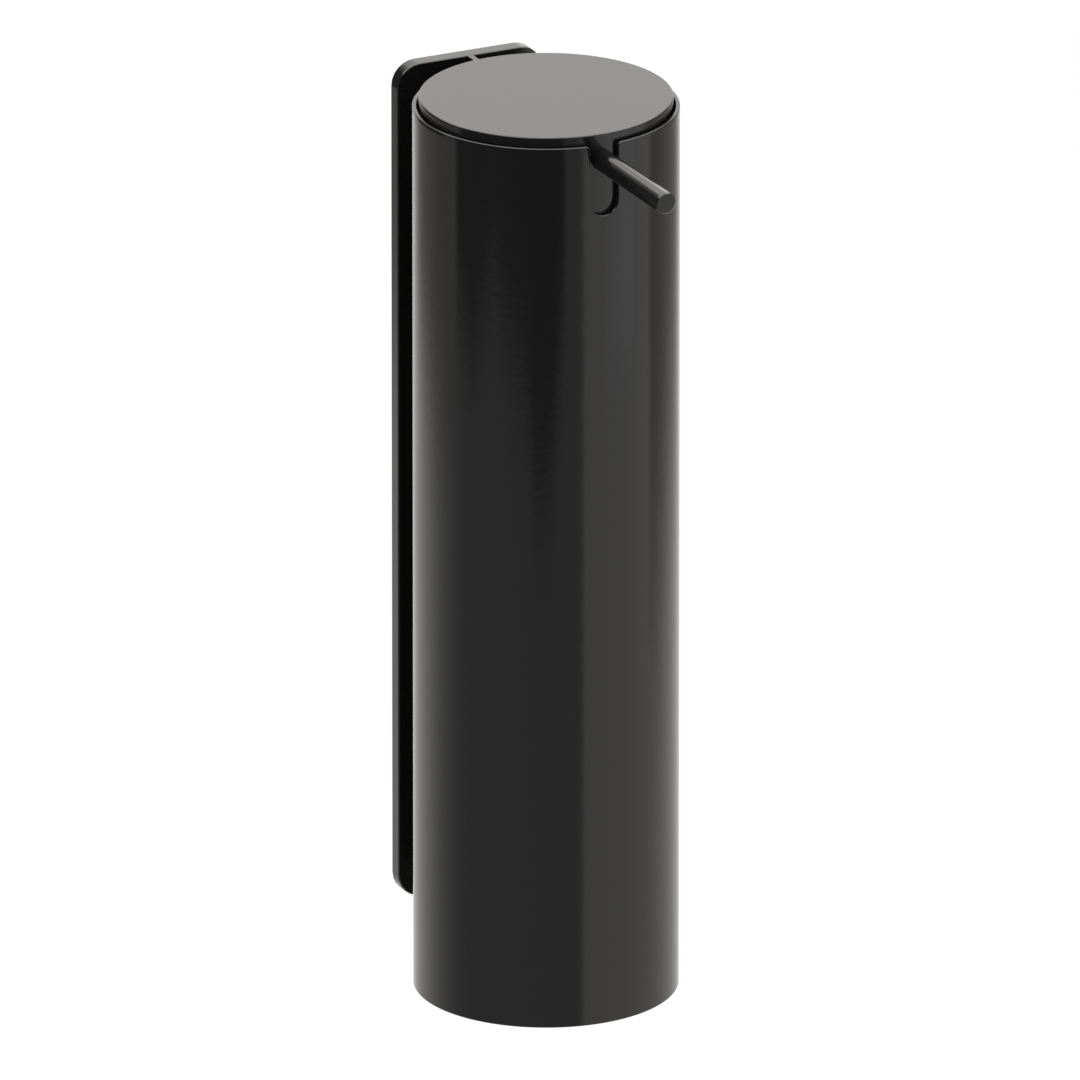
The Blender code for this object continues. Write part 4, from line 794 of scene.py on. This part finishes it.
# Its foot stands 69.5 mm below the rim, and the press of 9.3 mm shortens its 26 mm to 16.7 mm.
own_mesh(spring)

# %% [markdown]
# ## The collar
#
# The collar is moulded in black polypropylene, with thirty flutes for wet fingers. A flute is a shallow
# hollow, so it pulls the radius in: a raised cosine to the third power gives narrow hollows between broad
# lands, and the hollows run out under the top edge as the mould's pins do.

# %% Screw collar
FLUTES, FLUTE_DEPTH = 30, 0.4


def fluted(radius, turn, drop):
    """Radius - depth * (0.5 + 0.5 cos(flutes * turn)) cubed * a smooth step in height, outside only."""
    start = np.clip((drop / MM - 27.8) / 1.2, 0, 1)
    hollow = (0.5 + 0.5 * np.cos(FLUTES * turn)) ** 3
    return radius - FLUTE_DEPTH * MM * hollow * smooth_step(start) * (radius > 15.5 * MM)


collar_line = rounded_line([(9.3, 26.2, 0.2), (16.4, 26.2, 0.6), (16.4, 40.2, 0.3), (14.4, 40.2, 0.3),
                            (14.4, 27.6, 0.3), (9.3, 27.6, 0.2)], closed=True)
collar_line = finer(collar_line, 0.2, 27.6, 29.2)
collar = turned("screw_collar_look", collar_line, FLUTES * 16, closed=True, shape=fluted)
finished(collar, black_moulding, "collar")

# %% [markdown]
# ## The actuator hub
#
# Under the cap's steel sits a moulding that nobody sees until the cap is taken off: a disc with a rim and
# ribs, a hub with the outlet ball's cage, and a boss that grips the rod. It is the piece that turns the
# cap's push into the stem's stroke. The shapes are turned one by one and joined. The two bores cross, so
# they are joined first too, and then cut in one go.

# %% Actuator hub
RIB_TURN, RIB_STAGGER = 7, 0.04
hub_line = rounded_line([(0, -0.4, 0), (27.3, -0.4, 0.4), (27.3, 3.6, 0.2), (26.1, 3.6, 0.2),
                         (26.1, 0.8, 0.4), (7, 0.8, 0.5), (7, 15.9, 0.3), (0, 15.9, 0)])
hub = turned("actuator_hub_look", hub_line, steps=200)
rim = RIM_Z / MM
boss = turned("boss", rounded_line([(0, 0, 0), (4.6, 0, 0), (4.6, 17, 0.3), (0, 17, 0)]), 72, lay=forward)
joined = [carve(boss, cut_sheet("trim", box_outline(20, rim + 0.2, rim + 5, 0), -70, -20, 0, 0))]
# Ribs of one height would cross in shared planes, which a Boolean may tear, so each is a hair less tall than
# the one before it, and none of them lies along the rod.
for count in range(3):
    stagger = RIB_STAGGER * count
    rib = cut_sheet("rib", box_outline(26.7, rim - 3.4 + stagger, rim - 0.2 - stagger, 0), -0.5, 0.5, 0, 0)
    turn = Matrix.Rotation(math.radians(RIB_TURN + 60 * count), 4, "Z")
    rib.data.transform(Matrix.Translation((0, AXIS_Y, 0)) @ turn)
    joined.append(rib)
carve(hub, *joined, operation="UNION")
rod_bore = rounded_line([(0, 28.6, 0), (2.8, 28.6, 0), (2.8, 11.25, 0), (3.8, 11.25, 0), (3.8, 9.75, 0),
                         (2.8, 9.75, 0), (2.8, 5.7, 0), (1.4, 5.7, 0), (1.4, -1.4, 0), (0, -1.4, 0)])
stem_bore = rounded_line([(0, 4, 0), (1.2, 4, 0), (1.2, 7.8, 0), (2.6, 7.8, 0), (2.6, 11.6, 0),
                          (3.5, 11.6, 0), (3.5, 17, 0), (0, 17, 0)])
bores = turned("bores", rod_bore, 72, lay=forward)
carve(bores, turned("stem_bore", stem_bore, 72), operation="UNION")
carve(hub, bores)
finished(hub, black_moulding, "head")

# %% [markdown]
# ## Floor, light and camera
#
# The picture was taken in a white studio: white all round, softboxes behind and above, and grey and black
# cards that keep the lacquer dark. The world is white to the eye and a little dimmer as a light.

# %% World and floor
FILL_STRENGTH = 0.75
FLOOR_Z, FLOOR_HALF = -0.6, 6.0
scene = bpy.context.scene
world = bpy.data.worlds.new("studio")
scene.world = world
world.use_nodes = True
tree = world.node_tree
tree.nodes.clear()


def seen_directly(tree):
    """1 for camera, glossy and transmission rays, else 0: the largest of the three."""
    path = add(tree, "ShaderNodeLightPath")
    pair = add(tree, "ShaderNodeMath", {"operation": "MAXIMUM"},
               {0: path.outputs["Is Camera Ray"], 1: path.outputs["Is Glossy Ray"]})
    return add(tree, "ShaderNodeMath", {"operation": "MAXIMUM"},
               {0: pair.outputs[0], 1: path.outputs["Is Transmission Ray"]}).outputs[0]


fill = add(tree, "ShaderNodeBackground", {"Color": linear("#ffffff"), "Strength": FILL_STRENGTH})
white = add(tree, "ShaderNodeBackground", {"Color": linear("#ffffff"), "Strength": 1.0})
either = add(tree, "ShaderNodeMixShader", None,
             {0: seen_directly(tree), 1: fill.outputs[0], 2: white.outputs[0]})
add(tree, "ShaderNodeOutputWorld", None, {"Surface": either.outputs[0]})

corner = np.array([-1.0, 1.0]) * FLOOR_HALF
floor = solid("floor", grid(stacked(corner[None, :], corner[:, None], FLOOR_Z)))
print("world and floor: floor at", FLOOR_Z, "m")

# %% [markdown]
# The floor is painted white and lit until the picture shows it as pure white. So the paint glows to the
# camera and in reflections, where it is a touch warmer, and to all other rays it is plain chalk. From below
# it is clear, so that it never hides the part.

# %% Floor paint
GLOW_SHARE = 0.9
paint = bpy.data.materials.new("white_studio_paint")
paint.use_nodes = True
tree = paint.node_tree
tree.nodes.clear()
chalk = add(tree, "ShaderNodeBsdfDiffuse", {"Color": linear("#dcdcdc")})
white_glow = add(tree, "ShaderNodeEmission", {"Color": linear("#ffffff"), "Strength": 1.06})
warm_glow = add(tree, "ShaderNodeEmission", {"Color": linear("#fffcf8"), "Strength": 1.0})
glossy = add(tree, "ShaderNodeLightPath").outputs["Is Glossy Ray"]
glow = add(tree, "ShaderNodeMixShader", None, {0: glossy, 1: white_glow.outputs[0], 2: warm_glow.outputs[0]})
lit = add(tree, "ShaderNodeMixShader", {0: GLOW_SHARE}, {1: chalk.outputs[0], 2: glow.outputs[0]})
shown = add(tree, "ShaderNodeMixShader", None,
            {0: seen_directly(tree), 1: chalk.outputs[0], 2: lit.outputs[0]})
under = add(tree, "ShaderNodeNewGeometry").outputs["Backfacing"]
clear = add(tree, "ShaderNodeBsdfTransparent")
both = add(tree, "ShaderNodeMixShader", None, {0: under, 1: shown.outputs[0], 2: clear.outputs[0]})
add(tree, "ShaderNodeOutputMaterial", None, {"Surface": both.outputs[0]})
floor.data.materials.append(paint)
print("floor paint:", len(tree.nodes), "nodes")

# %% [markdown]
# Lights are placed as the photographer sees them: so far round from the camera, so high, so far away. One
# softbox is behind the object, one above it, and one above on the left. Their brightness counts per area, so
# the largest gives the most light.

# %% Softboxes
CAMERA_AZIMUTH = math.radians(-25.92)
CAMERA_ELEVATION = math.radians(20.26)


def seen_from_camera(azimuth, elevation, distance):
    """A point as azimuth from the camera's side, elevation and distance, round the tube's axis."""
    turn = CAMERA_AZIMUTH + math.radians(azimuth)
    rise = math.radians(elevation)
    return Vector((distance * math.sin(turn) * math.cos(rise),
                   AXIS_Y - distance * math.cos(turn) * math.cos(rise),
                   distance * math.sin(rise)))


def softbox(name, place, width, height, brightness, colour):
    """A one-sided rectangle of light that faces the object; its watts are brightness * area * pi."""
    lamp = bpy.data.lights.new(name, "AREA")
    lamp.shape, lamp.size, lamp.size_y = "RECTANGLE", width, height
    lamp.energy = brightness * width * height * math.pi
    lamp.color = linear(colour)[:3]
    box = bpy.data.objects.new(name, lamp)
    box.location = place
    box.rotation_euler = (Vector((0, AXIS_Y, 0)) - place).to_track_quat("-Z", "Y").to_euler()
    box.visible_camera = False
    scene.collection.objects.link(box)
    return box


boxes = [softbox("back_softbox", seen_from_camera(180, 24, 1.7), 2.6, 1.3, 0.7, "#fffaf4"),
         softbox("top_softbox", seen_from_camera(175, 62, 1.4), 1.8, 1.2, 0.8, "#fffaf4"),
         softbox("side_softbox", seen_from_camera(-42, 50, 1.5), 1.0, 1.0, 2.0, "#ffffff")]
print("softboxes, W:", [round(box.data.energy, 2) for box in boxes])

# %% [markdown]
# A card near a round tube shows as an upright band in the lacquer, and its lower edge as the band's end. A
# photographer softens a card's edge with gauze: here a point attribute says how much the card covers.

# %% Cards
CARD_COLUMNS, FADE_ROWS = 121, 9


def hang(name, points, cover, brightness, colour):
    """A card on a grid of points that glows, clear where cover is 0, and is seen by reflections alone."""
    mesh = bpy.data.meshes.new(name)
    points, faces = grid(points)
    mesh.from_pydata(points.tolist(), [], faces)
    mesh.attributes.new("cover", "FLOAT", "POINT").data.foreach_set("value", cover.ravel())
    made = bpy.data.objects.new(name, mesh)
    scene.collection.objects.link(made)
    material = bpy.data.materials.new(name)
    material.use_nodes = True
    tree = material.node_tree
    tree.nodes.clear()
    covered = add(tree, "ShaderNodeAttribute", {"attribute_name": "cover"})
    clear = add(tree, "ShaderNodeBsdfTransparent")
    glow = add(tree, "ShaderNodeEmission", {"Color": linear(colour), "Strength": brightness})
    gauze = add(tree, "ShaderNodeMixShader", None,
                {0: covered.outputs["Fac"], 1: clear.outputs[0], 2: glow.outputs[0]})
    add(tree, "ShaderNodeOutputMaterial", None, {"Surface": gauze.outputs[0]})
    mesh.materials.append(material)
    made.visible_camera = made.visible_diffuse = made.visible_shadow = False
    made.visible_transmission = made.visible_volume_scatter = False
    return made


def card(name, azimuths, foots, brightness, colour="#ffffff", radius=0.7, side_fades=(10, 10), foot_fade=40,
         top=0.55):
    """A card bent round the tube's axis.

    Columns run through the azimuths, in degrees from the camera's side. foots are the heights on the tube, in
    mm from its middle, where the card's lower edge is mirrored: the ray falls by tan(camera elevation) on its
    way to the card. cover is a smooth step of the lesser distance from a side, over side_fades degrees, times
    one of the height above the foot, over foot_fade mm.
    """
    degrees = np.linspace(azimuths[0], azimuths[-1], CARD_COLUMNS)[None, :]
    turn = CAMERA_AZIMUTH + np.radians(degrees)
    foot = np.interp(degrees, azimuths, foots) * MM - (radius - TUBE_RADIUS) * math.tan(CAMERA_ELEVATION)
    rise = np.append(np.linspace(0, foot_fade, FADE_ROWS) * MM, 2 * top)[:, None]
    height = np.minimum(foot + rise, top)
    points = stacked(radius * np.sin(turn), AXIS_Y - radius * np.cos(turn), height)
    inside = np.minimum((degrees - azimuths[0]) / side_fades[0],
                        (azimuths[-1] - degrees) / side_fades[1]).clip(0, 1)
    above = np.clip(rise / (foot_fade * MM), 0, 1)
    return hang(name, points, smooth_step(inside) * smooth_step(above), brightness, colour)


cards = [
    card("grey_card", [-130, 35], [-600, -600], 0.36, radius=0.75, side_fades=(60, 7)),
    card("black_card", [-84, -64, -45, -29, -16, -7, 4, 11, 18], [46, 32, 58, 38, 26, -2, 4, 33, 59], 0.07,
         radius=0.65, side_fades=(4, 4)),
    card("left_card", [-158, -146, -130, -105, -74], [30, 20, 10, 0, -5], 0.4, "#fffaf2",
         side_fades=(26, 20), foot_fade=70),
    card("right_card", [94, 110, 130, 150, 168], [-80, -75, -45, -40, -30], 0.42, "#fffaf4",
         side_fades=(10, 30), foot_fade=130),
    card("rod_card", [-148, -90], [109, 109], 0.07, radius=0.62, side_fades=(14, 10), foot_fade=20, top=0.35),
    card("bright_card", [50, 84], [40, 40], 1.15, "#fbfcff", side_fades=(10, 10), foot_fade=25)]
print("cards:", [made.name for made in cards])

# %% [markdown]
# Edges need their own light. The rounds at the rim, the cap and the plate look straight up, so a wide sheet
# of silk over the set gives each of them one thin bright line, and no flat face mirrors it towards the
# camera.

# %% Silk over the set
SILK_HALF, SILK_EDGE, SILK_Z = 1.1, 0.3, 0.9
side = np.linspace(-SILK_HALF, SILK_HALF, 23)
silk_points = stacked(side[None, :], AXIS_Y + side[:, None], SILK_Z)
silk_cover = np.clip((SILK_HALF - np.maximum(abs(side[None, :]), abs(side[:, None]))) / SILK_EDGE, 0, 1)
silk = hang("silk", silk_points, silk_cover, 4.5, "#ffffff")
print("silk: %.1f x %.1f m, %.1f m up" % (silk.dimensions.x, silk.dimensions.y, SILK_Z))

# %% [markdown]
# The camera is far away with a long lens, as product pictures are taken: eight metres back the tube's sides
# look parallel and its ellipses stay almost the same shape from rim to foot. Its angle, its focal length in
# pixels and the small shift of its aim come from a camera fitted to the outlines in the picture.

# %% Camera
CAMERA_DISTANCE = 8.0
FOCAL_PIXELS, PICTURE_PIXELS = 35581.16, 1080
AIM_RIGHT, AIM_UP = -1.357 * MM, 0.964 * MM
camera_data = bpy.data.cameras.new("camera")
camera_data.sensor_width = 36.0
camera_data.lens = FOCAL_PIXELS / PICTURE_PIXELS * camera_data.sensor_width
camera_data.clip_start, camera_data.clip_end = 0.1, 50.0
camera = bpy.data.objects.new("camera", camera_data)
scene.collection.objects.link(camera)
away = seen_from_camera(0, math.degrees(CAMERA_ELEVATION), 1.0) - Vector((0, AXIS_Y, 0))
right = Vector((math.cos(CAMERA_AZIMUTH), math.sin(CAMERA_AZIMUTH), 0))
up = right.cross(-away)
aim = Vector((0, AXIS_Y, RIM_Z - TUBE_HEIGHT / 2)) + AIM_RIGHT * right + AIM_UP * up
camera.location = aim + CAMERA_DISTANCE * away
camera.rotation_euler = (-away).to_track_quat("-Z", "Y").to_euler()
scene.camera = camera
scene.view_settings.view_transform = "Standard"
print("camera: lens %.1f mm, up %s" % (camera_data.lens, tuple(round(v, 3) for v in up)))
